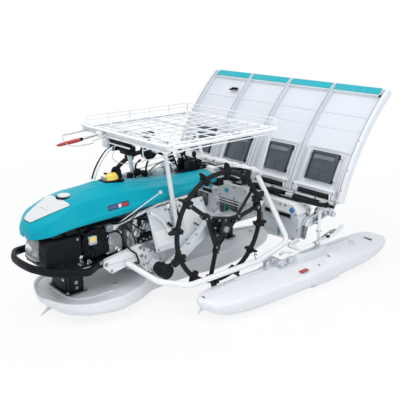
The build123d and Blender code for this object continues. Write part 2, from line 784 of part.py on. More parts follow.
with BuildPart() as tray_support:
    rod((-upper_rail_half, upper_rail_y, upper_rail_z), (upper_rail_half, upper_rail_y, upper_rail_z),
        upper_rail_r)
    reach = Vector(0, brace_y - upper_rail_y, brace_z - upper_rail_z)
    stay = Vector(0, upper_rail_y, upper_rail_z) + reach * (1 - (brace_r + seat_gap) / reach.length)
    for side in (1, -1):
        rod((side * tray_stay_x, upper_rail_y, upper_rail_z),
            (side * tray_stay_x, stay.Y, stay.Z), tray_stay_r)
tray_support.part.label = "tray_support"
export_step(tray_support.part, "parts/tray_support.step")

with BuildPart() as control_panel:
    block((-panel_half, brace_y - 12, brace_z + brace_r + seat_gap),
          (panel_half, brace_y + 70, brace_z + 84))
control_panel.part.label = "control_panel"
export_step(control_panel.part, "parts/control_panel.step")
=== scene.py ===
import math
import bmesh
import bpy
import numpy as np
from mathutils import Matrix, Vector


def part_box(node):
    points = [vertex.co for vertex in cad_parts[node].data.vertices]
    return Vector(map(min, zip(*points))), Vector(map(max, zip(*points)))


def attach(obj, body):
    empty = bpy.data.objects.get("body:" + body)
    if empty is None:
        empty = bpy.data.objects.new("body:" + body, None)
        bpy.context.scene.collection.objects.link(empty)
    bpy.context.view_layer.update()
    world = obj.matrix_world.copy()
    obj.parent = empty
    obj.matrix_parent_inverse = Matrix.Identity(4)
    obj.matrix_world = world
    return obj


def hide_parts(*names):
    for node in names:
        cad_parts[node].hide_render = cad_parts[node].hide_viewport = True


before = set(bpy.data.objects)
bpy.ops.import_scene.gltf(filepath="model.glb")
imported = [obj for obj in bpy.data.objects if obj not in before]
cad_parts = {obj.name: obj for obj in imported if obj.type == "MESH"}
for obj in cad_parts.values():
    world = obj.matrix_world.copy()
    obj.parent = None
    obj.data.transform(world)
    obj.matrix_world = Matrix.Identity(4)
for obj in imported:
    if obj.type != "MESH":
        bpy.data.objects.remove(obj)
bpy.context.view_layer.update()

# Walk-behind rice transplanter. Shapes are worked out in millimetres, in the frame's own axes,
# and put into their meshes in metres. +X is the machine's left, -Y the way it travels.
rowGap = 300.0  # from one planting row to the next


def mmBox(node):  # lowest corner, highest corner and middle of a frame node, in millimetres
    low, high = np.array(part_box(node)) * 1000
    return low, high, (low + high) / 2


# Shapes: each gives (points, faces)


# Every inner corner C of a run of points becomes (1-t)^2 A + 2t(1-t) C + t^2 B, with A and B on its two runs.
def roundCorners(points, cut, steps=5, closed=False):
    p = np.asarray(points, float)
    toPrev, toNext = np.roll(p, 1, -2) - p, np.roll(p, -1, -2) - p
    lenPrev = np.linalg.norm(toPrev, axis=-1, keepdims=True) + 1e-9
    lenNext = np.linalg.norm(toNext, axis=-1, keepdims=True) + 1e-9
    cut = np.broadcast_to(np.asarray(cut, float), p.shape[:-1])[..., None]
    a = p + toPrev * np.minimum(cut / lenPrev, 0.49)
    b = p + toNext * np.minimum(cut / lenNext, 0.49)
    t = np.linspace(0, 1, steps)[:, None]
    arcs = (1 - t) ** 2 * a[..., None, :] + 2 * t * (1 - t) * p[..., None, :] + t ** 2 * b[..., None, :]
    if not closed:
        inner = arcs[..., 1:-1, :, :].reshape(p.shape[:-2] + (-1, p.shape[-1]))
        return np.concatenate([p[..., :1, :], inner, p[..., -1:, :]], -2)
    return arcs.reshape(p.shape[:-2] + (-1, p.shape[-1]))


# Quads between neighbouring rows of a grid of points: ring closes each row on itself, loop joins the last
# row to the first, and caps closes the two end rows.
def skin(grid, ring=True, loop=False, caps=True):
    n, m = grid.shape[:2]
    idx = np.arange(n * m).reshape(n, m)
    rows = np.concatenate([idx, idx[:1]]) if loop else idx
    cols = np.concatenate([rows, rows[:, :1]], 1) if ring else rows
    quads = np.stack([cols[:-1, :-1], cols[:-1, 1:], cols[1:, 1:], cols[1:, :-1]], -1).reshape(-1, 4).tolist()
    if ring and caps and not loop:
        quads += [idx[0][::-1].tolist(), idx[-1].tolist()]
    return grid.reshape(-1, 3), quads


# An open grid and its copy moved along its normals by thick, joined round the rim.
def slab(grid, thick):
    alongU, alongV = np.gradient(grid, axis=0), np.gradient(grid, axis=1)
    normal = np.cross(alongU, alongV)
    normal /= np.linalg.norm(normal, axis=-1, keepdims=True) + 1e-12
    closed = np.concatenate([grid + normal * thick, grid[:, ::-1]], 1)
    points, quads = skin(closed, caps=False)
    m = grid.shape[1]
    idx = np.arange(len(points)).reshape(closed.shape[:2])
    for row in (idx[0], idx[-1]):
        front, back = row[:m], row[m:][::-1]
        quads += np.stack([front[:-1], back[:-1], back[1:], front[1:]], -1).tolist()
    return points, quads


# A box whose twelve edges are rounded: rounded rectangles stacked in z, drawn in by an arc at both ends.
def softBox(low, high, edge=2.0):
    low, high = np.minimum(low, high).astype(float), np.maximum(low, high).astype(float)
    half, mid = (high - low) / 2, (high + low) / 2
    edge = min(edge, half.min() * 0.95)
    turnBy = np.radians([0, 45, 90])
    inset = np.concatenate([edge * (1 - np.sin(turnBy)), edge * (1 - np.sin(turnBy[::-1]))])
    rise = np.concatenate([-half[2] + edge * (1 - np.cos(turnBy)),
        half[2] - edge * (1 - np.cos(turnBy[::-1]))])
    corner = np.radians(np.array([0, 45, 90, 90, 135, 180, 180, 225, 270, 270, 315, 360]))
    signX = np.repeat([1, -1, -1, 1], 3)
    signY = np.repeat([1, 1, -1, -1], 3)
    r = np.maximum(edge - inset, edge * 0.12)[:, None]
    x = signX * (half[0] - edge) + r * np.cos(corner)
    y = signY * (half[1] - edge) + r * np.sin(corner)
    z = np.broadcast_to(rise[:, None], x.shape)
    return skin(np.stack([x, y, z], -1) + mid)


def box(x0, x1, y0, y1, z0, z1, edge=2.0):  # the same, from its range along each axis
    return softBox((x0, y0, z0), (x1, y1, z1), edge)


axes = {"x": (0, 1, 2), "y": (1, 2, 0), "z": (2, 0, 1)}


def even(*ends):  # a profile the same on both sides of its middle, given from its end inwards
    return [(r, -h) for r, h in ends] + [(r, h) for r, h in ends[::-1] if h]


def around(count):  # angles of a full turn in equal steps
    return np.linspace(0, 2 * np.pi, count, endpoint=False)


def atX(x, outline):  # an outline of (y, z) pairs, stood up at x
    return np.column_stack([np.full(len(outline), x), outline])


# A profile of (radius, height) pairs carried round an axis through centre. wave makes the radius swell and
# shrink round the circle, as on a ribbed or toothed rim: (how many, by what share). out=-1 turns the heights
# over.
def turned(profile, centre, axis="z", sides=24, wave=(0, 0.0), out=1):
    profile = np.array(profile, float)
    angle = around(sides)
    radius = np.maximum(profile[:, :1], 0.02) * (1 + wave[1] * np.sign(np.cos(wave[0] * angle))
        * (wave[0] > 0))
    grid = np.zeros((len(profile), sides, 3))
    a, b, c = axes[axis]
    grid[..., a] = profile[:, 1:] * out
    grid[..., b] = radius * np.cos(angle)
    grid[..., c] = radius * np.sin(angle)
    return skin(grid + np.array(centre, float))


# A closed flat profile (side, up) carried along a path, square to it.
def swept(path, profile, ref=None, loop=False, scale=None):
    path = np.asarray(path, float)
    tangent = np.roll(path, -1, 0) - np.roll(path, 1, 0) if loop else np.gradient(path, axis=0)
    tangent /= np.linalg.norm(tangent, axis=1, keepdims=True)
    if ref is None:
        tries = np.array([[1, 0, 0], [0, 1, 0], [0, 0, 1], [0.6, 0.64, 0.48], [-0.6, 0.64, 0.48]])
        ref = tries[np.abs(tries @ tangent.T).max(1).argmin()]
    side = np.cross(tangent, ref)
    side /= np.linalg.norm(side, axis=1, keepdims=True)
    up = np.cross(side, tangent)
    profile = np.asarray(profile, float)
    size = np.ones(len(path)) if scale is None else np.asarray(scale, float)
    grid = path[:, None] + size[:, None, None] * (profile[None, :, :1] * side[:, None] + profile[None, :, 1:]
        * up[:, None])
    return skin(grid, loop=loop)


def circle(radius, sides=12):
    angle = around(sides)
    return radius * np.stack([np.cos(angle), np.sin(angle)], -1)


def pipe(points, radius, bend=0.0, sides=12):
    path = roundCorners(points, bend, 6) if bend else points
    return swept(path, circle(radius, sides))


# A bolt: a six-sided head on a thin washer.
def bolt(centre, axis="x", size=5.0, out=1):
    hexagon = [(size, out * size * 0.15), (size, out * size * 0.8), (size * 0.82, out * size)]
    washer = [(size * 1.35, 0), (size * 1.35, out * size * 0.18), (size, out * size * 0.2)]
    return merge([turned(hexagon, centre, axis, 6), turned(washer, centre, axis, 14)])


def merge(parts):
    points, faces, start = [], [], 0
    for p, f in parts:
        points.append(p)
        faces += [[i + start for i in face] for face in f]
        start += len(p)
    return np.concatenate(points), faces


def boltRing(x, y, z, radius, size, first=0):  # six bolts round a cover
    turns = np.radians(np.arange(first, first + 360, 60))
    return merge([bolt((x, y + radius * math.cos(a), z + radius * math.sin(a)), "x", size) for a in turns])


def flipX(part):  # the mirror image on the machine's other side
    return part[0] * np.array([-1, 1, 1]), part[1]


def bothSides(part):
    return merge([part, flipX(part)])


def mirrored(parts):
    return [item if isinstance(item, str) else flipX(item) for item in parts]


# Copies of a part turned about an axis along x, y or z through a centre, one for each angle in degrees.
def turnedCopies(part, angles, centre, axis="x"):
    a, b, c = axes[axis]
    p = part[0] - np.array(centre, float)
    out = []
    for angle in np.radians(angles):
        q = p.copy()
        q[:, b] = p[:, b] * np.cos(angle) - p[:, c] * np.sin(angle)
        q[:, c] = p[:, b] * np.sin(angle) + p[:, c] * np.cos(angle)
        out.append((q + np.array(centre, float), part[1]))
    return merge(out)


# A table of stations, its first column the place along the object, read at count places and eased so that
# the surface runs through the stations without a kink.
def eased(table, count, blur=3):
    table = np.array(table, float)
    along = np.linspace(table[0, 0], table[-1, 0], count)
    values = np.stack([np.interp(along, table[:, 0], table[:, k]) for k in range(1, table.shape[1])], -1)
    kernel = np.hanning(2 * blur + 3)[1:-1]
    kernel /= kernel.sum()
    reach = len(kernel) // 2
    before = 2 * values[:1] - values[reach:0:-1]
    after = 2 * values[-1:] - values[-2:-reach - 2:-1]
    padded = np.concatenate([before, values, after])
    smooth = np.stack([np.convolve(padded[:, k], kernel, "valid") for k in range(values.shape[1])], -1)
    return along, smooth


# Sections stood up at stations y: outline holds each corner's x and z for all stations, cuts their rounding.
def sections(y, outline, cuts, closed=False):
    flat = np.array([[x + 0 * y, z + 0 * y] for x, z in outline]).transpose(2, 0, 1)
    x, z = np.moveaxis(roundCorners(flat, np.array(cuts), closed=closed), -1, 0)
    return np.stack([x, y[:, None] + 0 * x, z], -1)


# Puts parts into one mesh in metres, with outward faces. A finish name in the list holds for what follows it.
def build(name, parts, replaces=None, crease=32, opened=False, body="machine"):
    mesh = bpy.data.meshes.new(name)
    points, faces, finishOf, finishes, start = [], [], [], [], 0
    for item in parts:
        if isinstance(item, str):
            finishes += [item] * (item not in finishes)
            current = finishes.index(item)
            continue
        p, f = item
        points.append(p)
        faces += [[i + start for i in face] for face in f]
        finishOf += [current] * len(f)
        start += len(p)
    mesh.from_pydata((np.concatenate(points) / 1000).tolist(), [], faces)
    for finish in finishes:
        mesh.materials.append(finishOfPiece[finish])
    mesh.polygons.foreach_set("material_index", finishOf)
    shell = bmesh.new()
    shell.from_mesh(mesh)
    if opened:  # an open skin: turned round where its faces look inwards
        centre = np.mean([v.co for v in shell.verts], 0)
        if sum((np.array(f.calc_center_median()) - centre) @ np.array(f.normal) for f in shell.faces) < 0:
            bmesh.ops.reverse_faces(shell, faces=shell.faces)
    else:
        bmesh.ops.recalc_face_normals(shell, faces=shell.faces)
    shell.to_mesh(mesh)
    shell.free()
    mesh.shade_smooth()
    mesh.set_sharp_from_angle(angle=math.radians(crease))
    piece = bpy.data.objects.new(name, mesh)
    bpy.context.scene.collection.objects.link(piece)
    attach(piece, body)
    if replaces:
        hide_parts(replaces)
    return piece


# Finishes: nodes on Object coordinates

finishOfPiece = {}


def put(node, **values):  # sets inputs by name; an underscore stands for a space
    for key, value in values.items():
        node.inputs[key.replace("_", " ")].default_value = value


# One finish: the colour drifts between two tones over patches, the roughness varies a little, and a fine
# grain and a slow wave lift the surface. speck darkens small spots.
def finish(name, colour, rough, tone, grain, grainSize=900.0, metal=0.0, patch=7.0, wave=0.0, waveSize=25.0,
        roughSpread=0.06, coat=0.0, speck=0.0, speckSize=260.0, stretch=(1, 1, 1), spec=0.5, clear=0.0,
        tint=None):
    made = bpy.data.materials.new(name)
    made.use_nodes = True
    nodes, links = made.node_tree.nodes, made.node_tree.links
    shader = nodes["Principled BSDF"]
    where = nodes.new("ShaderNodeTexCoord")
    spread = nodes.new("ShaderNodeMapping")
    put(spread, Scale=stretch)
    links.new(where.outputs["Object"], spread.inputs["Vector"])

    def noise(size, detail=3.0):
        node = nodes.new("ShaderNodeTexNoise")
        put(node, Scale=size, Detail=detail)
        links.new(spread.outputs["Vector"], node.inputs["Vector"])
        return node.outputs["Fac"]

    def ramp(source, low, high, darkColour, lightColour):
        node = nodes.new("ShaderNodeValToRGB")
        node.color_ramp.elements[0].position, node.color_ramp.elements[1].position = low, high
        node.color_ramp.elements[0].color, node.color_ramp.elements[1].color = darkColour, lightColour
        links.new(source, node.inputs["Fac"])
        return node.outputs["Color"]

    colour = np.array(colour, float)
    other = colour * (1 - 2 * tone) if tint is None else np.array(tint, float)
    light = np.clip(colour * (1 + tone * 0.5), 0, 1)
    base = ramp(noise(patch), 0.35, 0.65, (*other, 1), (*light, 1))
    if speck:
        specks = ramp(noise(speckSize, 5.0), 0.62, 0.7, (1, 1, 1, 1), (1 - speck,) * 3 + (1,))
        mix = nodes.new("ShaderNodeMix")
        mix.data_type, mix.blend_type = "RGBA", "MULTIPLY"
        put(mix, Factor=1.0)
        links.new(base, mix.inputs["A"])
        links.new(specks, mix.inputs["B"])
        base = mix.outputs["Result"]
    links.new(base, shader.inputs["Base Color"])
    rub = nodes.new("ShaderNodeMapRange")
    put(rub, To_Min=max(rough - roughSpread, 0.02), To_Max=min(rough + roughSpread, 1.0))
    links.new(noise(patch * 5, 4.0), rub.inputs["Value"])
    links.new(rub.outputs["Result"], shader.inputs["Roughness"])

    def bump(height, size, detail):
        node = nodes.new("ShaderNodeBump")
        put(node, Strength=1.0, Distance=height / 1000)
        links.new(noise(size, detail), node.inputs["Height"])
        return node

    lift = bump(grain, grainSize, 4.0)
    if wave:
        links.new(bump(wave, waveSize, 2.0).outputs["Normal"], lift.inputs["Normal"])
    links.new(lift.outputs["Normal"], shader.inputs["Normal"])
    put(shader, Metallic=metal, Specular_IOR_Level=spec)
    if coat:
        put(shader, Coat_Weight=coat, Coat_Roughness=0.06)
    if clear:
        put(shader, Transmission_Weight=clear, IOR=1.45)
    finishOfPiece[name] = made


finish("hoodTeal", (0.0, 0.355, 0.455), 0.34, 0.012, 0.006, 500, wave=0.03, roughSpread=0.02, spec=0.13)
finish("labelTeal", (0.0, 0.42, 0.50), 0.38, 0.02, 0.01)
finish("panelWhite", (0.66, 0.69, 0.705), 0.28, 0.02, 0.015, wave=0.08, coat=0.4)
finish("trayWhite", (0.73, 0.755, 0.805), 0.34, 0.015, 0.02, 700, patch=3, wave=0.25, waveSize=9)
finish("trayEdge", (0.79, 0.81, 0.84), 0.36, 0.02, 0.02)
finish("floatWhite", (0.79, 0.80, 0.825), 0.42, 0.02, 0.05, 600, patch=3, wave=0.5, waveSize=6, speck=0.04,
    speckSize=120)
finish("floatGrey", (0.72, 0.75, 0.78), 0.45, 0.04, 0.05, 600, patch=4, wave=0.5, waveSize=6)
finish("whitePaint", (0.86, 0.875, 0.89), 0.30, 0.02, 0.02, 350, coat=0.3, speck=0.05)
finish("greyPaint", (0.60, 0.65, 0.69), 0.36, 0.03, 0.03, 350, coat=0.2, speck=0.05)
finish("coverGrey", (0.70, 0.74, 0.77), 0.34, 0.03, 0.03, 350, coat=0.2, speck=0.04)
finish("blackPaint", (0.004, 0.006, 0.009), 0.40, 0.1, 0.03, 350, coat=0.05, speck=0.1, spec=0.25)
finish("blackPlastic", (0.004, 0.006, 0.010), 0.48, 0.1, 0.06, 900, spec=0.14)
finish("slatePlastic", (0.050, 0.068, 0.085), 0.30, 0.1, 0.04, 900, patch=5, coat=0.3,
    tint=(0.032, 0.044, 0.056))
finish("rubber", (0.005, 0.006, 0.008), 0.62, 0.15, 0.15, 500, spec=0.3, patch=20, roughSpread=0.1, speck=0.2)
finish("cast", (0.72, 0.76, 0.79), 0.46, 0.08, 0.35, 420, metal=0.3, patch=18, speck=0.18, speckSize=180,
    roughSpread=0.12)
# a lighter copy of cast for castings that sit in shade: painted light
finish("brightCast", (0.84, 0.87, 0.89), 0.4, 0.05, 0.2, 420, metal=0.1, patch=18, speck=0.12)
finish("darkCast", (0.30, 0.34, 0.37), 0.5, 0.12, 0.35, 420, metal=0.3, patch=18, speck=0.2)
finish("steel", (0.66, 0.68, 0.70), 0.26, 0.05, 0.04, 300, metal=1.0, patch=30, stretch=(1, 1, 8),
    roughSpread=0.1)
finish("wornSteel", (0.42, 0.44, 0.46), 0.4, 0.15, 0.08, 300, metal=0.9, patch=40, speck=0.3)
finish("heatMetal", (0.10, 0.09, 0.085), 0.55, 0.25, 0.12, 400, metal=0.6, patch=14, speck=0.3,
    tint=(0.13, 0.085, 0.06))
finish("stripAluminium", (0.70, 0.73, 0.76), 0.3, 0.05, 0.03, 500, metal=0.6, patch=6, stretch=(12, 1, 1))
finish("yellow", (0.96, 0.68, 0.10), 0.34, 0.05, 0.02, coat=0.3)
finish("red", (0.46, 0.022, 0.03), 0.36, 0.08, 0.04, coat=0.2)
finish("labelRed", (0.50, 0.03, 0.04), 0.42, 0.05, 0.01)
finish("labelGrey", (0.30, 0.31, 0.36), 0.4, 0.06, 0.01)
finish("labelBlue", (0.06, 0.10, 0.24), 0.35, 0.06, 0.01)
finish("labelInk", (0.012, 0.03, 0.10), 0.35, 0.06, 0.01)
finish("blueCap", (0.01, 0.16, 0.42), 0.3, 0.08, 0.02, coat=0.4)
finish("green", (0.0, 0.30, 0.17), 0.4, 0.08, 0.02)
finish("lensClear", (0.86, 0.89, 0.92), 0.06, 0.01, 0.02, 200, roughSpread=0.02, clear=0.75)
finish("reflector", (0.80, 0.82, 0.84), 0.16, 0.03, 0.03, 200, metal=0.95)
finish("seamGrey", (0.50, 0.53, 0.58), 0.5, 0.05, 0.01)
# a dark strip for the gap beside the outer dividers: painted shade
finish("seamDark", (0.20, 0.22, 0.25), 0.5, 0.05, 0.01)
finish("slatePanel", (0.042, 0.064, 0.080), 0.16, 0.12, 0.02, patch=6, coat=0.35, tint=(0.037, 0.054, 0.068))
# a lighter slate for bands on the dark glossy windows: painted reflection
finish("slateLight", (0.16, 0.20, 0.235), 0.3, 0.1, 0.03, patch=20)
print("finishes", len(finishOfPiece))

# Hood

# Stations: y, low half, low z, crease half, crease z, roof half, roof z. panelHalf: y, half width.
hoodSize = {
    "stations": [(-1020, 60, 396, 61, 434, 36, 456), (-1005, 84, 401, 80, 449, 42, 470),
    (-985, 106, 407, 99, 464, 49, 481), (-960, 124, 415, 114, 478, 55, 492),
    (-870, 137, 433, 115, 515, 60, 529), (-790, 141, 438, 115, 530, 62, 545),
    (-640, 141, 442, 112, 538, 60, 564), (-430, 129, 451, 105, 520, 58, 536),
    (-210, 111, 452, 90, 494, 52, 514), (-10, 85, 474, 66, 490, 44, 511)], "lip": 24.0, "lipIn": 9.0,
    "lipStart": (-850, -760), "ridge": 5.0, "ridgeStart": (-800, -740), "wall": 3.0,
    "panelHalf": ((-1011, 24), (-1004, 36), (-985, 49), (-950, 64), (-905, 80), (-874, 93), (-860, 95),
    (-852, 84))}


# Half profiles from the bottom lip up the side, over the crease to the roof, and their mirror images.
def hoodGrid():
    y, v = eased(hoodSize["stations"], 150, 4)
    lowHalf, lowZ, creaseHalf, creaseZ, roofHalf, roofZ = v.T
    fade = np.interp(y, hoodSize["lipStart"], (0, 1))
    lip = hoodSize["lip"] * (0.35 + 0.65 * fade)
    ridge = hoodSize["ridge"] * np.interp(y, hoodSize["ridgeStart"], (0, 1))
    outline = [
        (lowHalf - 3, lowZ), (lowHalf, lowZ + lip * 0.3), (lowHalf + 0.5, lowZ + lip),
        (lowHalf - 1 - hoodSize["lipIn"] * fade, lowZ + lip + 7), (creaseHalf + 1, creaseZ - 8),
        (creaseHalf - 5, creaseZ + 3), (roofHalf + 3, roofZ - 2), (roofHalf - 7, roofZ + 0.5),
        (roofHalf - 17, roofZ + 0.5), (roofHalf - 22, roofZ + 0.5 + ridge), (0, roofZ + 1 + ridge)]
    near = sections(y, outline, [0, 3, 4, 4, 4, 4, 6, 3, 3, 3, 0])
    far = near[:, ::-1][:, 1:] * np.array([-1, 1, 1])
    body = np.concatenate([near, far], 1)
    # the foot of the nose, so that its face closes
    middle = np.array([0, body[0, 0, 1], hoodSize["stations"][0][2]])
    shrink = ((0.12, -9), (0.45, -8.5), (0.72, -7), (0.9, -4), (0.98, -1.2))
    nose = [middle + (body[0] - middle) * np.array([s, 1, s]) + np.array([0, dy, 0]) for s, dy in shrink]
    return np.concatenate([np.array(nose), body], 0)


hoodCover = hoodGrid()
hood = build("hoodCover", ["hoodTeal", skin(hoodCover, ring=False)], "hood", crease=28, opened=True)
wall = hood.modifiers.new("wall", "SOLIDIFY")
wall.thickness, wall.offset = hoodSize["wall"] / 1000, -1


# Reads the skin between its stations: column b of each row is sampled at fixed places in column a, and the
# table is then read at (place, y) by bilinear steps.
def hoodRead(first, last, a, b, place, y):
    body = hoodCover[5:]
    spots = np.linspace(body[:, first:last, a].min(), body[:, first:last, a].max(), 160)
    order = slice(first, last) if body[0, first, a] < body[0, last - 1, a] else slice(last - 1, first - 1, -1)
    table = np.array([np.interp(spots, row[order, a], row[order, b]) for row in body])
    u = np.clip(np.interp(y, body[:, 0, 1], np.arange(len(body))), 0, len(body) - 1.001)
    v = np.clip(np.interp(place, spots, np.arange(160)), 0, 158.999)
    i, j = u.astype(int), v.astype(int)
    u, v = u - i, v - j
    return ((1 - u) * (1 - v) * table[i, j] + u * (1 - v) * table[i + 1, j] + (1 - u) * v * table[i, j + 1]
        + u * v * table[i + 1, j + 1])


def hoodTop(x, y):  # height of the roof
    half = hoodCover.shape[1] // 2 + 1
    return hoodRead(half // 2 + 1, half, 0, 2, np.abs(x), y)


# A thin plate on the hood: y runs between two ends, x between plus and minus a half width read from a table.
def hoodPatch(halfTable, grow, lift, thick):
    table = np.array(halfTable, float)
    y = np.linspace(table[0, 0] - grow, table[-1, 0] + grow, 40)[:, None] + np.zeros((1, 33))
    half = np.interp(y, table[:, 0], table[:, 1]) + grow
    x = half * np.linspace(-1, 1, 33)[None]
    y = y - 7 * (1 - (x / (np.abs(x).max() + 1)) ** 2) * (y > table[:, 0].mean())
    grid = np.stack([x, y, hoodTop(x, y) + lift], -1)
    return slab(grid[:, ::-1], thick)


build("hoodPanel", ["blackPlastic", hoodPatch(hoodSize["panelHalf"], 2.2, 0.1, 0.9),
    "panelWhite", hoodPatch(hoodSize["panelHalf"], 0.0, 0.9, 1.3)], crease=40)


# A blank badge on each side: a thin plate on the side face, in three plain fields.
def sideBadge(y0, y1, z0, z1, drop, thick, out):
    y = np.linspace(y0, y1, 9)[:, None] + np.zeros((1, 5))
    z = np.linspace(z0, z1, 5)[None] + (y - y0) * drop
    body = hoodCover[5:]
    x = hoodRead(6, 24, 2, 0, z, y)  # half width of the side
    grid = np.stack([x + out, y, z], -1)
    return slab(grid, thick)


parts = [
    "labelInk", bothSides(sideBadge(-690, -578, 472, 494, 0.03, 1.0, 0.2)),
    "labelBlue", bothSides(sideBadge(-686, -640, 478, 489.5, 0.03, 0.8, 1.2)),
    "panelWhite", bothSides(sideBadge(-637, -621, 476.5, 492, 0.03, 0.8, 1.2)),
    "labelRed", bothSides(sideBadge(-618, -584, 478, 491, 0.03, 0.8, 1.2))]
build("hoodBadges", parts)

# Filler cap and latch on the roof

capLow, _, capMid = mmBox("filler_cap")
capPart = turned([(22, 6), (27, 7), (28, 9), (28, 13), (25.5, 16), (16, 17.5), (5, 18)],
    (*capMid[:2], capLow[2]), "z", 36, (18, 0.012))
ringPart = turned([(35, -4), (35, 7), (32.5, 9.5), (27.5, 10), (26, 5)], (*capMid[:2], capLow[2]), "z", 40)
build("fillerCap", ["panelWhite", capPart, "blackPlastic", ringPart], "filler_cap")

latchLow, latchHigh, latchMid = mmBox("hood_latch")
lx, ly, lz = *latchMid[:2], latchLow[2]


def latchDome():  # a dome on an oval foot, cut flat in front: its height falls off as a fourth power
    u, v = np.meshgrid(np.linspace(0.02, 1, 14), np.linspace(0, 2 * np.pi, 33)[:-1], indexing="ij")
    x = lx + 27 * u * np.cos(v)
    y = ly + 2 + 37 * u * np.sin(v)
    z = lz + 17 + 31 * (1 - u ** 4) + 0.12 * (y - ly)
    return skin(np.stack([x, y, z], -1))


latchBase = box(lx - 36, lx + 36, latchLow[1] - 6, latchHigh[1] + 8, lz + 2, lz + 19, 5)
latchFin = swept(roundCorners([(lx, ly + 14, lz + 14), (lx, ly + 20, latchHigh[2] + 26),
    (lx, ly + 42, latchHigh[2] + 18), (lx, latchHigh[1] + 6, lz + 14)], 10),
    [(-13, -3), (13, -3), (13, 3), (-13, 3)])
latchLabel = box(lx - 17, lx + 17, latchLow[1] + 1, latchLow[1] + 8, lz + 17, lz + 36)
build("hoodLatch", ["blackPlastic", latchBase, "yellow", latchDome(), "blackPlastic", latchFin,
    "labelGrey", latchLabel], "hood_latch")
print("hood")

# Engine under the hood

shroudLow, shroudHigh = mmBox("engine_shroud")[:2]


# A box lofted along x whose side pulls in towards its face, with a sloped top front edge.
def shroudShell():
    low, high = shroudLow - (0, 4, 0), shroudHigh + (0, 4, 0)
    outline = [
        (low[1], low[2]), (high[1], low[2]), (high[1], high[2]), (low[1] + 26, high[2]),
        (low[1], high[2] - 34)]
    outline = roundCorners(outline, 9, closed=True)
    middle = outline.mean(0)
    rings = [
        (low[0] - 30, 1.0), (high[0] - 12, 1.0), (high[0] - 4, 0.985), (high[0] - 1, 0.95), (high[0], 0.90)]
    grid = np.array([atX(x, middle + (outline - middle) * s) for x, s in rings])
    return skin(grid)


faceX = shroudHigh[0]
parts = ["blackPlastic", shroudShell()]
for k in range(5):  # cooling ribs pressed in its face
    z = shroudLow[2] + 24 + 15 * k
    parts += ["blackPlastic", box(faceX - 2, faceX + 1.8, shroudLow[1] + 88, shroudHigh[1] - 14, z, z + 6)]
parts += [
    "blackPlastic", box(faceX - 2, faceX + 1.4, shroudLow[1] + 22, shroudLow[1] + 76, shroudLow[2] + 20,
    shroudHigh[2] - 52, 6)]
for y, z in ((-985, 270), (-856, 270), (-856, 384)):
    parts += ["wornSteel", bolt((faceX - 0.5, y, z), "x", 4.5)]
parts += ["blackPlastic", box(96, 126, -905, -850, 402, 432, 5)]
build("engineShroud", parts, "engine_shroud")

starterLow, starterHigh, starterMid = mmBox("recoil_starter")
starterR = (starterHigh[2] - starterLow[2]) / 2
sx, sy, sz = starterLow[0], *starterMid[1:]
starterDish = turned([(starterR * 0.9, -14), (starterR, -8), (starterR, 12), (starterR * 0.95, 24),
    (starterR * 0.82, 30), (starterR * 0.78, 28), (starterR * 0.42, 30), (starterR * 0.38, 42),
    (starterR * 0.32, 45), (4, 46)], (sx, sy, sz), "x", 44)
starterVent = box(sx + 26, sx + 33, sy - 3, sy + 3, sz + starterR * 0.46, sz + starterR * 0.8, 1.5)
parts = [
    "blackPlastic", starterDish, turnedCopies(starterVent, range(0, 360, 30), starterMid),
    "panelWhite", box(sx + 26, sx + 46, -800, -766, 344, 379, 1.2),
    "yellow", box(sx + 40, sx + 46.8, -798, -768, 360, 377, 0.6),
    "labelGrey", box(sx + 40, sx + 46.6, -798, -768, 347, 353, 0.6),
    "panelWhite", box(sx + 35.5, sx + 37, sy - 27, sy + 9, sz + 4, sz + 14, 1),
    "wornSteel", turnedCopies(bolt((sx + 10, sy, sz + starterR - 4), "x", 4.5), (45, 135, 225, 315),
    starterMid), "blackPlastic", box(sx - 2, sx + 14, sy + 30, sy + 84, starterLow[2] + 2,
    starterHigh[2] - 14, 8),
    pipe([(sx + 20, sy - 40, sz + 40), (sx + 22, sy - 62, sz + 66), (sx + 8, sy - 66, sz + 84)], 6, 12)]
build("recoilStarter", parts, "recoil_starter")

lampLow, lampHigh = mmBox("headlight")[:2]


# The lamp's front: a face that bulges forward and leans back, inside a black rim.
def lampGrid(halfX, z0, z1, bulge, lean, front):
    u, v = np.meshgrid(np.linspace(0, 1, 18), np.linspace(-1, 1, 26), indexing="ij")
    z = z0 + (z1 - z0) * u
    x = halfX * v * (1 - 0.12 * u)
    y = front + lean * u + bulge * (v ** 4) + 10 * (2 * u - 1) ** 4
    return np.stack([x, y, z], -1)


parts = [
    "lensClear", slab(lampGrid(64, lampLow[2] + 2, lampHigh[2] + 4, 22, 12, lampLow[1] - 4), 3),
    "reflector", slab(lampGrid(60, lampLow[2] + 6, lampHigh[2], 26, 12, lampLow[1] + 18), 3),
    turned([(30, 0), (27, 14), (18, 24), (8, 28)], (0, lampLow[1] + 2, 334), "y", 30),
    "panelWhite", turned([(6, -6), (7, -2), (7, 10), (3, 14)], (0, lampLow[1] + 6, 334), "y", 16),
    "blackPlastic", box(-66, 66, lampLow[1] + 24, lampHigh[1] + 6, lampLow[2] - 4, lampHigh[2] + 8, 8)]
rimPath = roundCorners([(-66, lampLow[1] + 20, lampLow[2] - 1), (66, lampLow[1] + 20, lampLow[2] - 1),
    (59, lampLow[1] + 34, lampHigh[2] + 5), (-59, lampLow[1] + 34, lampHigh[2] + 5)], 10, closed=True)
rimPath[:, 1] -= 14 * (1 - (rimPath[:, 0] / 66) ** 4)
parts += ["blackPlastic", swept(rimPath, circle(4.5, 10), loop=True)]
build("headLamp", parts, "headlight", crease=50)

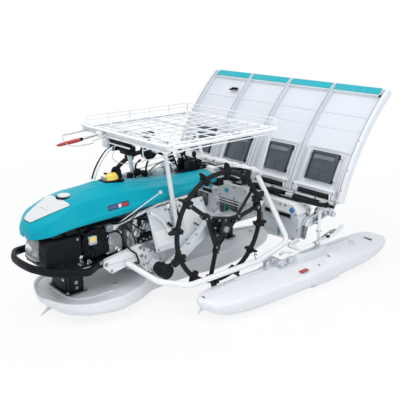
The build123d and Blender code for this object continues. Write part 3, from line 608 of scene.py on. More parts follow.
mufflerLow, mufflerHigh, mufflerMid = mmBox("muffler")
mx, _, mz = mufflerMid
length = mufflerHigh[1] - mufflerLow[1]
mufflerR = (mufflerHigh[2] - mufflerLow[2]) / 2
canister = turned([(mufflerR * 0.55, 0), (mufflerR * 0.9, 4), (mufflerR, 12), (mufflerR, length * 0.47),
    (mufflerR * 1.02, length * 0.48), (mufflerR * 1.02, length * 0.52), (mufflerR, length * 0.53),
    (mufflerR, length - 12), (mufflerR * 0.9, length - 4), (mufflerR * 0.55, length)],
    (mx, mufflerLow[1], mz), "y", 36)
parts = [
    "heatMetal", canister,
    pipe([(mx, mufflerHigh[1] - 30, mz - 30), (mx - 6, mufflerHigh[1] - 20, mufflerLow[2] - 22),
    (mx - 34, mufflerHigh[1] - 6, mufflerLow[2] - 40)], 11, 20)]
for k in range(7):  # the guard's bars
    y = mufflerLow[1] + 18 + k * (length - 36) / 6
    arch = [
        (mx - mufflerR - 2.5, y, mz - 26), (mx - mufflerR - 2.5, y, mz + 28),
        (mx - 30, y, mufflerHigh[2] + 2.5), (mx + 10, y, mufflerHigh[2] + 2.5)]
    parts += ["wornSteel", swept(roundCorners(arch, 16), [(-3, -1), (3, -1), (3, 1), (-3, 1)], ref=(0, 1, 0))]
build("mufflerCan", parts, "muffler")

blockLow, blockHigh = mmBox("engine_block")[:2]
parts = ["blackPaint", softBox(blockLow + (0, 2, 0), blockHigh - (0, 2, 0), 8)]
for k in range(9):  # cylinder fins across the rear
    z = 296 + k * 11
    parts += ["darkCast", box(-104, 102, -742, -612, z, z + 4, 1.6)]
parts += [
    "darkCast", box(98, 112, -700, -612, 262, 360, 6),
    "steel", turned([(13, 0), (13, 8), (9, 10), (9, 22), (5, 24)], (104, -640, 276), "x", 18),
    "wornSteel", turned([(24, 0), (24, 10), (20, 14), (8, 15)], (100, -668, 322), "x", 26),
    "darkCast", box(100, 122, -700, -664, 372, 404, 5),
    "rubber", pipe([(112, -664, 396), (130, -640, 404), (134, -600, 414), (126, -560, 424)], 4, 16),
    pipe([(112, -676, 384), (136, -640, 380), (140, -590, 400), (130, -540, 430)], 2.5, 16),
    "darkCast", box(-122, -98, -700, -612, 262, 380, 6)]
for y, z in ((-692, 270), (-620, 270), (-692, 352), (-620, 352)):
    parts += ["steel", bolt((111, y, z), "x", 4.5)]
build("engineBlock", parts, "engine_block")

mountLow, mountHigh = mmBox("engine_mount")[:2]
parts = ["blackPaint", softBox(mountLow, mountHigh, 3)]
# drain fittings: a foot, a neck and a cap, in bright metal
drains = [(126, -925, 262, 9), (130, -842, 272, 12), (132, -806, 268, 9)]
for x, y, z, r in drains:
    parts += [
        "steel", turned([(r, 0), (r, 5), (r * 0.7, 6), (r * 0.7, 13), (r * 0.95, 14), (r * 0.95, 19),
        (r * 0.5, 21)], (x, y, z - 10), "z", 12),
        turned([(r * 0.55, -4), (r * 0.55, 12), (r * 0.75, 13), (r * 0.75, 18)], (x, y, z), "x", 10)]
parts += [
    "steel", turned([(11, 0), (11, 7), (8, 9), (8, 14), (3, 15)], (128, -846, 300), "x", 16),
    pipe([(131, -848, 300), (136, -848, 292), (134, -846, 282)], 4, 4)]
for x, y in ((112, -950), (112, -600), (-112, -950), (-112, -600)):
    parts += ["wornSteel", bolt((x, y, mountHigh[2]), "z", 6)]
build("engineMount", parts, "engine_mount")

# Front bumper: a flat oval section with two grooves, carried round the nose

bumperSize = {
    "corners": [(140, -744, 241), (140, -765, 241), (210, -850, 254), (198, -925, 266), (158, -1008, 279),
    (80, -1052, 286)], "wide": 11.0, "tall": 17.0, "groove": 1.6, "bend": 26.0}
near = np.array(bumperSize["corners"], float)
bumperPath = roundCorners(np.concatenate([near, [[0, -1059, 287]], near[::-1] * (-1, 1, 1)]),
    bumperSize["bend"], 7)
angle = around(40)
dent = bumperSize["groove"] * (np.exp(-((np.sin(angle) - 0.38) / 0.10) ** 2)
    + np.exp(-((np.sin(angle) + 0.38) / 0.10) ** 2))
across = np.sign(np.cos(angle)) * np.abs(np.cos(angle)) ** 0.6 * (bumperSize["wide"] - dent)
upward = np.sign(np.sin(angle)) * np.abs(np.sin(angle)) ** 0.8 * bumperSize["tall"]
parts = [
    "blackPlastic", swept(bumperPath, np.stack([across, upward], -1), ref=(0, 0, 1)),
    "blackPaint", bothSides(box(120, 152, -768, -742, 243, 262, 3)),
    "wornSteel", bothSides(bolt((152, -754, 252), "x", 6))]
build("frontBumper", parts, "front_bumper", crease=40)
print("engine and bumper")

# Driving wheels

# lug: distance from the axle, half width, half thickness
wheelSize = {
    "ringR": 264.0, "tubeR": 11.5, "lugs": 12, "lugTurn": -9, "plateR": 104.0, "plateHalf": 7.0,
    "spokes": (-104, 12, 142), "lug": ((234, 9, 5), (240, 15, 8), (252, 19, 10), (268, 20, 11), (280, 20, 9),
    (292, 19, 7), (302, 17, 6), (308, 12, 4.5), (311, 7, 2)), "lean": -17.0, "axle": (-182.0, 325.0)}


# A rounded bar carried outwards from the axle: superellipse rings whose half width and half thickness come
# from the lug table.
def lugShape(centre):
    t = np.array(wheelSize["lug"], float)
    r = np.linspace(t[0, 0], t[-1, 0], 22)
    w, d = np.interp(r, t[:, 0], t[:, 1]), np.interp(r, t[:, 0], t[:, 2])
    a = around(16)
    x = w[:, None] * np.sign(np.cos(a)) * np.abs(np.cos(a)) ** 0.55
    y = d[:, None] * np.sign(np.sin(a)) * np.abs(np.sin(a)) ** 0.7
    lean = wheelSize["lean"] * (np.clip(r[:, None] - 262, 0, None) / 60) ** 1.4
    return skin(np.stack([x + centre[0], y + lean + centre[1], r[:, None] + 0 * x + centre[2]], -1))


def drivingWheel(side):
    name = f"wheel_{side}"
    mid = mmBox(name)[2]
    mid[1:] = wheelSize["axle"]
    mx, my, mz = mid
    thick, ringR = wheelSize["plateHalf"], wheelSize["ringR"]
    sign = 1 if side == "left" else -1
    a = around(120)
    ring = np.stack([0 * a, ringR * np.cos(a), ringR * np.sin(a)], -1) + mid
    steps = np.arange(wheelSize["lugs"]) * 360 / wheelSize["lugs"] + wheelSize["lugTurn"]
    peg = turned(even((5.5, 36), (7, 34), (7, 24), (5, 22)), (mx, my, mz + ringR), "x", 12)
    collar = turned(even((13.0, 16), (17.0, 13)), (mx, my, mz + ringR), "y", 16)
    # the web: a three-cornered plate with a raised rim, its corners rounded
    corners = np.array([[math.cos(math.radians(s)), math.sin(math.radians(s))] for s in wheelSize["spokes"]])
    outline = roundCorners(corners * wheelSize["plateR"] * 1.16, 46, 9, closed=True)
    levels = [
        (-thick, 0.975), (-thick + 1.5, 1.0), (thick - 1.5, 1.0), (thick, 0.975), (thick, 0.86),
        (thick - 4, 0.82)]
    web = skin(np.array([atX(sign * h, outline * s) for h, s in levels]) + mid)
    hub = turned([(12, -38), (33, -38), (34, -36), (34, -8), (46, -8), (46, 8), (34, 10), (34, 36), (31, 38),
        (20, 38), (18, 32), (3, 32)], mid, "x", 32, out=sign)
    spoke = pipe([(mx, my, mz + 70), (mx, my, mz + 96), (mx, my, mz + 262)], 11, sides=14)
    shoe = box(mx - 15, mx + 15, my - 20, my + 20, mz + 236, mz + 258, 4)
    strap = box(mx - 9, mx + 13, my - 16, my + 16, mz + 84, mz + 128, 4)

    def onSpokes(part):
        return turnedCopies(part, [s - 90 for s in wheelSize["spokes"]], mid)

    parts = [
        "rubber", swept(ring, circle(wheelSize["tubeR"], 16), ref=(1, 0, 0), loop=True),
        turnedCopies(lugShape(mid), steps, mid), turnedCopies(peg, steps, mid),
        turnedCopies(collar, steps, mid), "blackPaint", web, hub, onSpokes(spoke), onSpokes(shoe),
        onSpokes(strap)]
    faceX = mx + sign * 12.5
    for z, y in ((96, 9), (116, -9)):
        parts += ["darkCast", onSpokes(bolt((faceX, my + y, mz + z), "x", 4.5, sign))]
    parts += [
        "wornSteel", onSpokes(bolt((mx + sign * 14.5, my, mz + 247), "x", 6, sign)),
        "darkCast", turnedCopies(bolt((mx + sign * 7, my, mz + 40), "x", 5.5, sign),
        (20, 80, 140, 200, 260, 320), mid), turned([(15, 28), (15, 44), (11, 46), (3, 46.5)], mid, "x", 20,
        out=sign)]
    build(f"drivingWheel_{side}", parts, name, crease=38, body=name)


for side in ("left", "right"):
    drivingWheel(side)
print("wheels")

# Floats

# Stations: y, half width at the rim, half width of the sole, sole z, bilge z
centreFloat = {
    "stations": [(-972, 58, 30, 74, 88), (-962, 96, 60, 66, 86), (-948, 130, 88, 58, 84),
    (-930, 160, 106, 46, 78), (-900, 192, 112, 34, 72), (-840, 230, 116, 20, 66), (-702, 248, 140, 2, 60),
    (-580, 214, 118, 0, 54), (-440, 140, 88, 0, 44), (-300, 122, 80, 0, 36), (-130, 126, 86, 0, 36),
    (-20, 150, 106, 0, 40), (120, 130, 94, 0, 40), (300, 80, 56, 0, 40), (430, 40, 22, 12, 44),
    (468, 17, 9, 30, 60)], "top": 110.0, "rim": 22.0, "sunk": 9.0}


# The hull: each half section runs sole, bilge, side, rim, then over the rim's inner lip to the sunk deck.
def centreFloatGrid():
    y, v = eased(centreFloat["stations"], 170)
    half, sole, soleZ, bilge = v.T
    rim = np.minimum(centreFloat["rim"], half * 0.3)
    top, deck = centreFloat["top"], centreFloat["top"] - centreFloat["sunk"]
    outline = [
        (0, soleZ), (sole, soleZ), (half - 16 - 0.06 * half, bilge * 0.45 + soleZ * 0.55), (half - 3, bilge),
        (half, bilge + 9), (half, top - 2), (half - 3, top + 1), (half - rim, top), (half - rim - 5, deck),
        (0, deck)]
    near = sections(y, outline, [0, 30, 26, 16, 5, 4, 6, 4, 4, 0])
    return np.concatenate([near, near[:, ::-1][:, 1:-1] * np.array([-1, 1, 1])], 1)


hull = centreFloatGrid()
nose = hull[0].mean(0)
shrink = ((0.3, -5), (0.7, -4), (0.92, -2))
hull = np.concatenate([[nose + (hull[0] - nose) * s + (0, dy, 0) for s, dy in shrink], hull])
parts = ["floatWhite", skin(hull)]
deckY, deckV = eased(centreFloat["stations"], 80)
deckHalf = np.maximum(deckV[:, 0] - np.minimum(centreFloat["rim"], deckV[:, 0] * 0.3) - 4.5, 2)
deck = np.stack([deckHalf[:, None] * np.linspace(-1, 1, 12), np.repeat(deckY[:, None], 12, 1),
    np.full((80, 12), centreFloat["top"] - centreFloat["sunk"] + 0.2)], -1)
parts += ["floatGrey", slab(deck[:, ::-1][2:-2], 1.2)]
# raised rib that follows the nose, and the keel peg under it
ribPath = roundCorners([(150, -700, 102), (150, -820, 102), (104, -890, 102), (-104, -890, 102),
    (-150, -820, 102), (-150, -700, 102)], 60, 9)
parts += ["floatGrey", swept(ribPath, [(-5, 0), (-4, 5), (4, 5), (5, 0)], ref=(0, 0, 1))]
fin = np.array([[(-3, -930, 60), (-3, -898, 44), (3, -898, 44), (3, -930, 60)],
    [(-1.5, -968, 32), (-1.5, -952, 26), (1.5, -952, 26), (1.5, -968, 32)],
    [(-0.6, -986, 16), (-0.6, -981, 13), (0.6, -981, 13), (0.6, -986, 16)]], float)
parts += ["floatWhite", skin(fin)]
for y, r in ((-650, 20), (-480, 16), (330, 14)):  # bolted pads on the deck
    parts += [
        "floatGrey", turned([(r, 0), (r, 4), (r * 0.8, 5), (r * 0.3, 5)], (0 if y > 0 else 96, y, 101)),
        "wornSteel", bolt((0 if y > 0 else 96, y, 105), "z", 6)]
build("centreFloatHull", parts, "centre_float", crease=42)

# Stations: y, inner edge, outer edge, sole z, side crease z, crown z
sideFloat = {
    "stations": [(-470, 464, 490, 80, 97, 104), (-462, 452, 506, 66, 94, 106), (-448, 440, 530, 54, 91, 108),
    (-430, 430, 552, 42, 88, 109), (-390, 418, 574, 24, 88, 111), (-330, 406, 592, 8, 90, 113),
    (-200, 403, 611, 0, 93, 116), (0, 403, 622, 0, 95, 118), (360, 403, 627, 0, 98, 119),
    (600, 403, 624, 8, 100, 119), (690, 406, 614, 20, 101, 117), (745, 416, 602, 36, 102, 115),
    (785, 432, 588, 58, 103, 113), (806, 444, 572, 78, 103, 111), (814, 456, 558, 88, 104, 109)],
    "notch": (172, 352, 482)}


# Each section runs round the float: sole, chine, side wall to its crease, over the crowned top to a step down
# on the inner side, and back. Between two stations the inner side is cut back for the planting fork.
def sideFloatGrid():
    y, v = eased(sideFloat["stations"], 300, 2)
    inner, outer, sole, crease, crown = v.T
    y0, y1, cut = sideFloat["notch"]
    inner = np.where((y > y0 - 2) & (y < y1 + 2), np.maximum(inner, cut), inner)
    wide = outer - inner
    shelf = inner + wide * 0.24
    drop = np.clip((y + 400) / 90, 0, 1) * np.clip((770 - y) / 90, 0, 1) * 8
    outline = [
        (inner + wide * 0.2, sole), (outer - wide * 0.24, sole),
        (outer - wide * 0.05, sole + (crease - sole) * 0.36), (outer, sole + (crease - sole) * 0.68),
        (outer - 1.5, crease - 2), (outer - 9, crease + 6), (inner + wide * 0.66, crown - 2),
        (shelf + 10, crown), (shelf, crown - drop), (inner + 8, crown - drop - 2),
        (inner, crease - 8 - drop * 0.4), (inner + 2, sole + (crease - sole) * 0.4)]
    return sections(y, outline, [16, 26, 26, 16, 5, 9, 30, 4, 4, 5, 5, 12], closed=True)


def sideFloatPiece(side):
    grid = sideFloatGrid()
    front, back = grid[0].mean(0), grid[-1].mean(0)
    ends = [front + (grid[0] - front) * s + (0, dy, 0) for s, dy in ((0.35, -3.5), (0.75, -2.6), (0.94, -1))]
    tail = [back + (grid[-1] - back) * s + (0, dy, 0) for s, dy in ((0.94, 1), (0.75, 2), (0.35, 2.8))]
    parts = ["floatWhite", skin(np.concatenate([ends, grid, tail]))]
    # the raised wall beside the notch, and its sloped end
    wallGrid = np.array([[(486, y, 100), (486, y, z), (492, y, z + 3), (516, y, z + 3), (522, y, z),
        (524, y, 100)] for y, z in ((132, 112), (146, 146), (156, 158), (330, 160), (346, 154), (372, 112))],
        float)
    parts += [
        "floatGrey", skin(roundCorners(wallGrid, np.array([0, 3, 3, 3, 3, 0]), 3)),
        box(430, 452, -220, 96, 104, 115, 4), box(428, 452, 360, 640, 104, 114, 4),
        "slatePlastic", box(466, 486, -446, -438, 99, 110, 1.5), box(506, 556, 690, 700, 113, 120),
        "labelRed", box(575, 597, 76, 128, 112.5, 117.0, 1.5),
        "wornSteel", turned([(7, 0), (7, 3), (5, 4), (2, 4)], (552, 330, 119), "z", 14),
        turned([(5, 0), (5, 3), (2, 4)], (590, 210, 116), "z", 12),
        "steel", pipe([(508, 566, 116), (508, 566, 134), (532, 566, 134), (532, 566, 116)], 2.2, 6)]
    fin = np.array([[(466, -440, 74), (466, -410, 52), (472, -410, 52), (472, -440, 74)],
        [(468, -462, 46), (468, -448, 38), (471, -448, 38), (471, -462, 46)],
        [(469, -474, 30), (469, -468, 27), (470, -468, 27), (470, -474, 30)]], float)
    parts += ["floatWhite", skin(fin)]
    if side == "right":
        parts = mirrored(parts)
    build(f"floatHull_{side}", parts, f"side_float_{side}", crease=36)


for side in ("left", "right"):
    sideFloatPiece(side)
print("floats")


# Castings that carry the side floats: foot plates, two cheeks cut to a slope, a cross pin, a link.
def cheek(x, y0, y1, z0, z1):
    outline = roundCorners([(y0, z0), (y1, z0), (y1, z0 + (z1 - z0) * 0.35), (y0 + (y1 - y0) * 0.55, z1),
        (y0, z1 - 8)], 7, closed=True)
    grid = np.array([atX(x + d, outline) for d in (-3, 3)])
    return skin(grid)


def floatBracket():
    parts = [
        "cast", box(424, 474, -44, 112, 109, 117, 3), box(448, 512, 20, 86, 112, 121, 3),
        cheek(432, -20, 96, 114, 160), cheek(452, -20, 96, 114, 156),
        "steel", turned([(9, -18), (9, 26), (7, 28)], (440, 12, 146), "x", 18),
        "cast", turned([(14, 0), (14, 12), (10, 14), (4, 14)], (486, 52, 119), "z", 20),
        box(480, 492, 28, 76, 134, 147, 3),
        "steel", turned([(6, 0), (6, 26), (4, 28)], (486, 52, 126), "z", 12),
        pipe([(470, 108, 122), (488, 92, 150), (520, 62, 178)], 4, 10),
        "whitePaint", pipe([(430, 100, 150), (452, 106, 172), (500, 112, 178), (524, 84, 184)], 7, 16),
        "cast", box(406, 424, 6, 40, 112, 136, 3), box(474, 496, 100, 168, 112, 152, 8),
        "wornSteel", pipe([(424, -60, 166), (414, -64, 186), (424, -70, 200), (440, -72, 196)], 3, 8)]
    for x, y in ((432, -34), (466, -34), (500, 34), (500, 72)):
        parts += ["steel", bolt((x, y, 117 if x < 480 else 121), "z", 6)]
    # upper strut with a yoke on the beam
    parts += [
        "whitePaint", pipe([(492, 318, 109), (492, 318, 374)], 8, sides=16),
        "cast", box(480, 504, 306, 330, 109, 132, 3), box(482, 502, 308, 328, 350, 374, 3),
        "steel", turned([(13, -3), (13, 3)], (492, 318, 240), "z", 18)]
    # bent guard pipe outside the outer fork
    guardPath = [
        (417, 250, 188), (418, 200, 182), (424, 170, 178), (508, 168, 184), (513, 330, 190), (512, 452, 216),
        (500, 500, 224)]
    parts += [
        "whitePaint", pipe(guardPath, 11, 26, 16),
        "darkCast", turned(even((12, 7), (14, 6)), (512, 262, 187), "y", 18),
        "steel", turned(even((12, 4), (15, 3)), (512, 286, 188), "y", 18),
        "cast", box(506, 520, 300, 344, 196, 214, 3), "blackPaint", box(501, 524, 352, 372, 200, 212, 3),
        "darkCast", pipe([(514, 308, 208), (520, 340, 226), (516, 384, 230), (512, 420, 216)], 4, 14, 8),
        box(497, 510, 396, 440, 204, 226, 3)]
    return parts


bracket = floatBracket()
build("floatBrackets", bracket + mirrored(bracket), "float_brackets")

parts = [
    "blackPaint", box(-74, 74, -880, -800, 112, 239, 5), box(-86, 86, -892, -790, 110.5, 117, 3),
    bothSides(box(74, 79, -868, -812, 120, 232)), box(-60, 60, -886, -879, 124, 196, 3),
    box(-15, 15, 140, 180, 110.5, 189, 4), box(-26, 26, 128, 192, 110.5, 118, 3),
    "wornSteel", turned([(9, -80), (9, 80)], (0, -842, 160), "x", 16)]
for x, y in ((-76, -800), (76, -800), (-76, -884), (76, -884)):
    parts += ["wornSteel", bolt((x, y, 117), "z", 6)]
for z in (134, 214):
    parts += ["wornSteel", bothSides(bolt((79, -840, z), "x", 6))]
parts += ["steel", bolt((46, -886, 176), "y", 6, -1)]
build("centreFloatBrackets", parts, "centre_float_brackets")
print("float brackets")

# Seedling rack over the hood

rackSize = {"half": 335.0, "front": -522.0, "rear": 148.0, "z": 758.0, "wireR": 2.6, "gridX": 9, "gridY": 8}
rx, ry0, ry1, rz = rackSize["half"], rackSize["front"], rackSize["rear"], rackSize["z"]
parts = []
# front channel: a folded strip with a lip, and flat holes along it
channel = roundCorners([(-12, -17), (12, -17), (12, -13), (-8, -13), (-8, 9), (12, 9), (12, 13), (-12, 13)],
    1.5, 3, closed=True)
parts += ["whitePaint", swept([(-rx - 10, ry0, rz), (rx + 10, ry0, rz)], channel, ref=(0, 0, 1))]
for x in np.linspace(-rx + 30, rx - 30, 9):
    parts += ["greyPaint", box(x - 9, x + 9, ry0 - 13.2, ry0 - 11.6, rz - 5, rz + 2, 0.7)]
# side rails: two tubes one over the other, with spacers, and a rear tube
for x in (-rx, rx):
    s = math.copysign(1, x)
    parts += [
        "whitePaint", pipe([(x, ry0, rz), (x, ry1, rz)], 8.5, sides=14),
        pipe([(x - s * 34, ry0 + 10, rz + 6), (x - s * 34, ry1, rz + 6)], 5),
        pipe([(x + s * 6, ry0 + 6, rz - 4), (x + s * 6, ry0 + 40, rz - 16), (x + s * 6, ry1 - 30, rz - 16),
        (x + s * 6, ry1, rz - 4)], 3.2, 10)]
    for y in np.linspace(ry0 + 90, ry1 - 60, 5):
        parts += ["whitePaint", box(x - s * 36 - 2, x + s * 4 + 2, y - 5, y + 5, rz + 1, rz + 5, 1)]
parts += ["whitePaint", pipe([(-rx, ry1, rz), (rx, ry1, rz)], 8.5, sides=14)]
# the basket's bottom: wires both ways, the long ones over the short ones, and two pressed bearers
for x in np.linspace(-rx + 34, rx - 34, rackSize["gridX"]):
    parts += ["whitePaint", pipe([(x, ry0 + 8, rz + 9), (x, ry1, rz + 9)], rackSize["wireR"], sides=8)]
for y in np.linspace(ry0 + 50, ry1 - 40, rackSize["gridY"]):
    parts += ["whitePaint", pipe([(-rx, y, rz + 5), (rx, y, rz + 5)], rackSize["wireR"], sides=8)]
for y in (-399, -120):
    parts += ["whitePaint", box(-rx, rx, y - 12, y + 12, rz - 9, rz - 1)]
# corner plates
for s in (-1, 1):
    parts += [
        "whitePaint", box(s * (rx - 30), s * (rx + 12), ry0 - 10, ry0 + 34, rz + 13, rz + 16, 1.4),
        "steel", bolt((s * (rx - 8), ry0 + 10, rz + 16), "z")]
build("seedlingRack", parts, "seedling_rack")

# upper rail round three sides, on short uprights
topZ = mmBox("rack_upper_rail")[1][2] - 3.5
railRun = [
    (-rx, ry0 + 24, rz + 11), (-rx, ry0 + 24, topZ), (-rx, ry1, topZ), (rx, ry1, topZ), (rx, ry1, rz + 11)]
parts = [
    "whitePaint", pipe(railRun, 3.0, 20, 10),
    pipe([(-rx, ry0 + 26, rz + 30), (-rx, ry1, rz + 30), (rx, ry1, rz + 30)], 2.2, 18, 8)]
for k in range(6):
    y = ry0 + 24 + (ry1 - ry0 - 24) * k / 5
    parts += ["whitePaint", pipe([(-rx, y, rz + 8), (-rx, y, topZ)], 2.4, sides=8)]
    x = -rx + 2 * rx * k / 5
    parts += ["whitePaint", pipe([(x, ry1, rz + 8), (x, ry1, topZ)], 2.4, sides=8)]
build("rackUpperRail", parts, "rack_upper_rail")

# under the rack: a black box with a strap, a white disc, and the bent strut down to the hood
parts = [
    "blackPlastic", box(-118, 22, -512, -440, 716, 746, 5), box(-124, 14, -508, -452, 684, 706, 5),
    "whitePaint", box(-132, 46, -514, -508, 707, 714, 1),
    "blackPlastic", box(-60, 20, -496, -452, 668, 688, 5),
    "panelWhite", turned(even((8, 16), (38, 14), (41, 11)), (-60, -452, 700), "x", 34),
    "whitePaint", box(-74, -46, -470, -434, 738, 750, 3), box(-158, -120, -526, -430, 686, 748, 5),
    "coverGrey", box(-150, -128, -532, -520, 694, 726, 3),
    "blackPlastic", turned(even((6, 20), (38, 18), (42, 14), (43, 0)), (-60, -326, 655), "x", 34),
    "rubber", turned(even((14, 24), (18, 22)), (-60, -326, 655), "x", 22),
    "blackPlastic", pipe([(-60, -326, 692), (-60, -330, 750)], 9), box(-84, -36, -352, -304, 722, 748, 4),
    "cast", turned(even((15, 14), (18, 11)), (150, -440, 716), "x", 26),
    box(150, 206, -470, -410, 720, 746, 6),
    "whitePaint", pipe([(0, -380, 626), (0, -270, 630), (0, -160, 636)], 3.2, sides=8),
    pipe([(0, -400, 676), (0, -278, 688), (0, -200, 748)], 3.2, 30, 8),
    pipe([(0, -382, 626), (-4, -402, 650), (0, -402, 748)], 3.2, 14, 8),
    pipe([(0, -162, 636), (0, -150, 690), (0, -140, 748)], 3.2, 20, 8),
    "seamGrey", pipe([(-60, -520, 700), (0, -579, 665), (0, -545, 643), (0, -512, 631), (0, -451, 623),
    (0, -384, 627)], 1.8, 30, 8),
    "whitePaint", pipe([(-60, -640, 566), (-62, -622, 612), (-66, -560, 690), (-68, -508, 700)], 6.5, 60),
    # beside the strut, a thin line in the rubber finish: painted shade along its dark side
    "rubber", pipe([(-68, -646, 568), (-70, -628, 614), (-74, -566, 690), (-76, -512, 704)], 4.2, 60),
    "blackPlastic", box(-84, -56, -532, -500, 684, 702, 3)]
# the far side's adjusting gear, which shows over the hood: a tray of castings, springs and rods
coil = np.stack([np.concatenate([[5], np.tile((8, 11), 15), [5]]), np.linspace(-60, 60, 32)], -1)
parts += [
    "greyPaint", box(-186, -116, -430, -60, 486, 492), "cast", box(-188, -182, -430, -60, 488, 520, 1.5),
    "darkCast", turned(coil, (-136, -330, 508), "y", 16),
    "wornSteel", turned(coil, (-166, -260, 512), "y", 16), "cast", box(-176, -124, -236, -180, 490, 530, 6),
    "darkCast", box(-166, -128, -176, -130, 490, 548, 5), "cast", box(-160, -126, -120, -70, 490, 522, 5),
    "blackPlastic", box(-150, -124, -400, -376, 490, 540, 4),
    turned(even((14, 10), (19, 8)), (-122, -352, 540), "x"),
    turned(even((10, 16), (15, 13)), (-122, -312, 528), "x"),
    "blackPaint", pipe([(-122, -372, 492), (-122, -360, 540), (-122, -366, 580), (-122, -330, 600)], 5, 20,
    10), pipe([(-122, -300, 492), (-122, -300, 560), (-120, -280, 600)], 5, 20, 10),
    "whitePaint", pipe([(-128, -424, 500), (-128, -180, 548), (-128, -64, 552)], 4, 20, 10),
    "steel", pipe([(-180, -424, 524), (-180, -64, 560)], 3.5, sides=8),
    "rubber", pipe([(-140, -150, 546), (-120, -190, 570), (-116, -250, 556), (-130, -290, 520)], 3, 20, 8)]
for x, y in ((-128, -418), (-128, -72), (-176, -300)):
    parts += ["whitePaint", pipe([(x, y, 424), (x, y, 488)], 6)]
for x, y in ((-128, -440), (-180, -200), (-180, -100), (-126, -160)):
    parts += ["wornSteel", bolt((x, y + 20, 492), "z")]
build("rackUnderside", parts)

# the lever in front: a tapered grip on a rod, with its wire guard
gripFrom, gripTo = np.array([-108, -790, 739.0]), np.array([-142, -656, 741.0])
gripPath = gripFrom + (gripTo - gripFrom) * np.linspace(0, 1, 14)[:, None]
gripScale = np.interp(np.linspace(0, 1, 14), [0, 0.05, 0.12, 0.75, 0.9, 0.97, 1],
    [0.35, 0.6, 0.72, 1.0, 0.95, 0.8, 0.6])
parts = [
    "red", swept(gripPath, circle(12, 18) * (1, 0.8), scale=gripScale),
    "blackPlastic", pipe([(-142, -658, 741), (-146, -640, 742)], 8, sides=14),
    "steel", pipe([(-144, -648, 742), (-158, -560, 747), (-158, ry0 - 8, 748)], 5, 20),
    pipe([(-272, ry0 - 2, 752), (-248, -640, 752), (-238, -690, 752), (-186, -716, 750), (-128, -742, 744)],
    3.2, 18, 8), pipe([(-104, -748, 742), (-40, -764, 745), (2, -750, 749), (2, -672, 751), (-40, -646, 752),
    (-100, ry0 - 4, 752)], 2.6, 16, 8), "whitePaint", box(-176, -142, ry0 - 26, ry0 - 6, 738, 762, 3)]
build("frontLever", parts, "front_lever")
print("rack")

# Seedling tray

# The tray's face is an arc in y and z through three points. Everything on it is placed by x, z and offset.
trayArc = {"points": ((316.0, 415.0), (452.0, 697.0), (648.0, 920.0)), "half": 610.0}
(ay, az), (by, bz), (cy, cz) = trayArc["points"]
toB, toC = by ** 2 + bz ** 2 - ay ** 2 - az ** 2, cy ** 2 + cz ** 2 - ay ** 2 - az ** 2
det = 2 * ((by - ay) * (cz - az) - (cy - ay) * (bz - az))
arcY = (toB * (cz - az) - toC * (bz - az)) / det
arcZ = (toC * (by - ay) - toB * (cy - ay)) / det
arcR = math.hypot(ay - arcY, az - arcZ)


# A point of the tray: height z picks the place on the arc; out moves it off the face, towards the front.
def trayPoint(x, z, out):
    x, z, out = np.broadcast_arrays(np.asarray(x, float), np.asarray(z, float), np.asarray(out, float))
    a = np.arcsin(np.clip((z - arcZ) / arcR, -1, 1))
    side = -1 if arcY > ay else 1
    r = arcR + out * (1 if side < 0 else -1)
    return np.stack([x, arcY + side * r * np.cos(a), arcZ + r * np.sin(a)], -1)


# A bar following the arc from z0 to z1: x and out given as ranges, its four long edges cut back by edge.
def trayBar(x0, x1, z0, z1, out0, out1, edge=1.5, steps=None):
    steps = steps or max(int(abs(z1 - z0) / 16) + 2, 3)
    z = np.linspace(z0, z1, steps)
    profile = roundCorners([(x0, out0), (x1, out0), (x1, out1), (x0, out1)], edge, 3, closed=True)
    return skin(trayPoint(profile[None, :, 0], z[:, None], profile[None, :, 1]))


lanes = [rowGap * k for k in (-1.5, -0.5, 0.5, 1.5)]
half = trayArc["half"]
parts = ["trayWhite", trayBar(-half, half, 636, 920, -8, 0, 2, 26)]
# the lower part: a plain strip in each gap between the windows, drawn in aluminium, with white ribs beside it
edges = [-half] + [e for x in lanes for e in (x - 86, x + 86)] + [half]
for left, right in zip(edges[::2], edges[1::2]):
    parts += ["trayWhite", trayBar(left, right, 416, 636, -8, -1, 1.5, 16)]
    if abs(left) < half and abs(right) < half:
        middle = (left + right) / 2
        parts += [
            "stripAluminium", trayBar(middle - 44, middle - 12, 424, 628, -1, 0.6, 0.6, 14),
            trayBar(middle + 12, middle + 44, 424, 628, -1, 0.6, 0.6, 14)]
        for x in (middle - 50, middle + 50):
            parts += ["trayEdge", trayBar(x - 2, x + 2, 424, 634, -1, 7, 1.2, 14)]
    else:
        parts += ["stripAluminium", trayBar(left + 16, right - 16, 430, 628, -1, 0.5, 0.6, 14)]
# cross strips over and under each window, pressed seams across each lane
for x in lanes:
    parts += [
        "trayWhite", trayBar(x - 87, x + 87, 464, 485, -8, -2, 1.5, 4),
        trayBar(x - 87, x + 87, 623, 637, -8, -2, 1.5, 3),
        "seamGrey", trayBar(x - 134, x + 134, 797, 799.2, -0.2, 0.35, 0.3, 3),
        trayBar(x - 134, x + 134, 732, 733.4, -0.2, 0.3, 0.3, 3), trayBar(x - 134, x + 134, 633, 635.5, -0.2,
        0.5, 0.3, 3), "trayEdge", trayBar(x - 120, x + 120, 640, 648, 0, 2.2, 1.2, 3)]
# back of the plate: stiffening ribs, the runner and the bars that carry the belts
for x in (-600, -300, 0, 300, 600):
    parts += ["trayWhite", trayBar(x - 2.5, x + 2.5, 640, 914, -19, -7, 1, 20)]
for z in (660, 860):
    parts += ["trayWhite", trayBar(-604, 604, z, z + 5, -17, -7, 1, 3)]
parts += ["whitePaint", box(-400, 400, 507, 532.6, 735, 765, 3)]
for x in np.linspace(-380, 380, 9):
    parts += ["wornSteel", bolt((x, 517, 765), "z")]
build("trayPlate", parts, "seedling_tray", crease=30, body="tray")

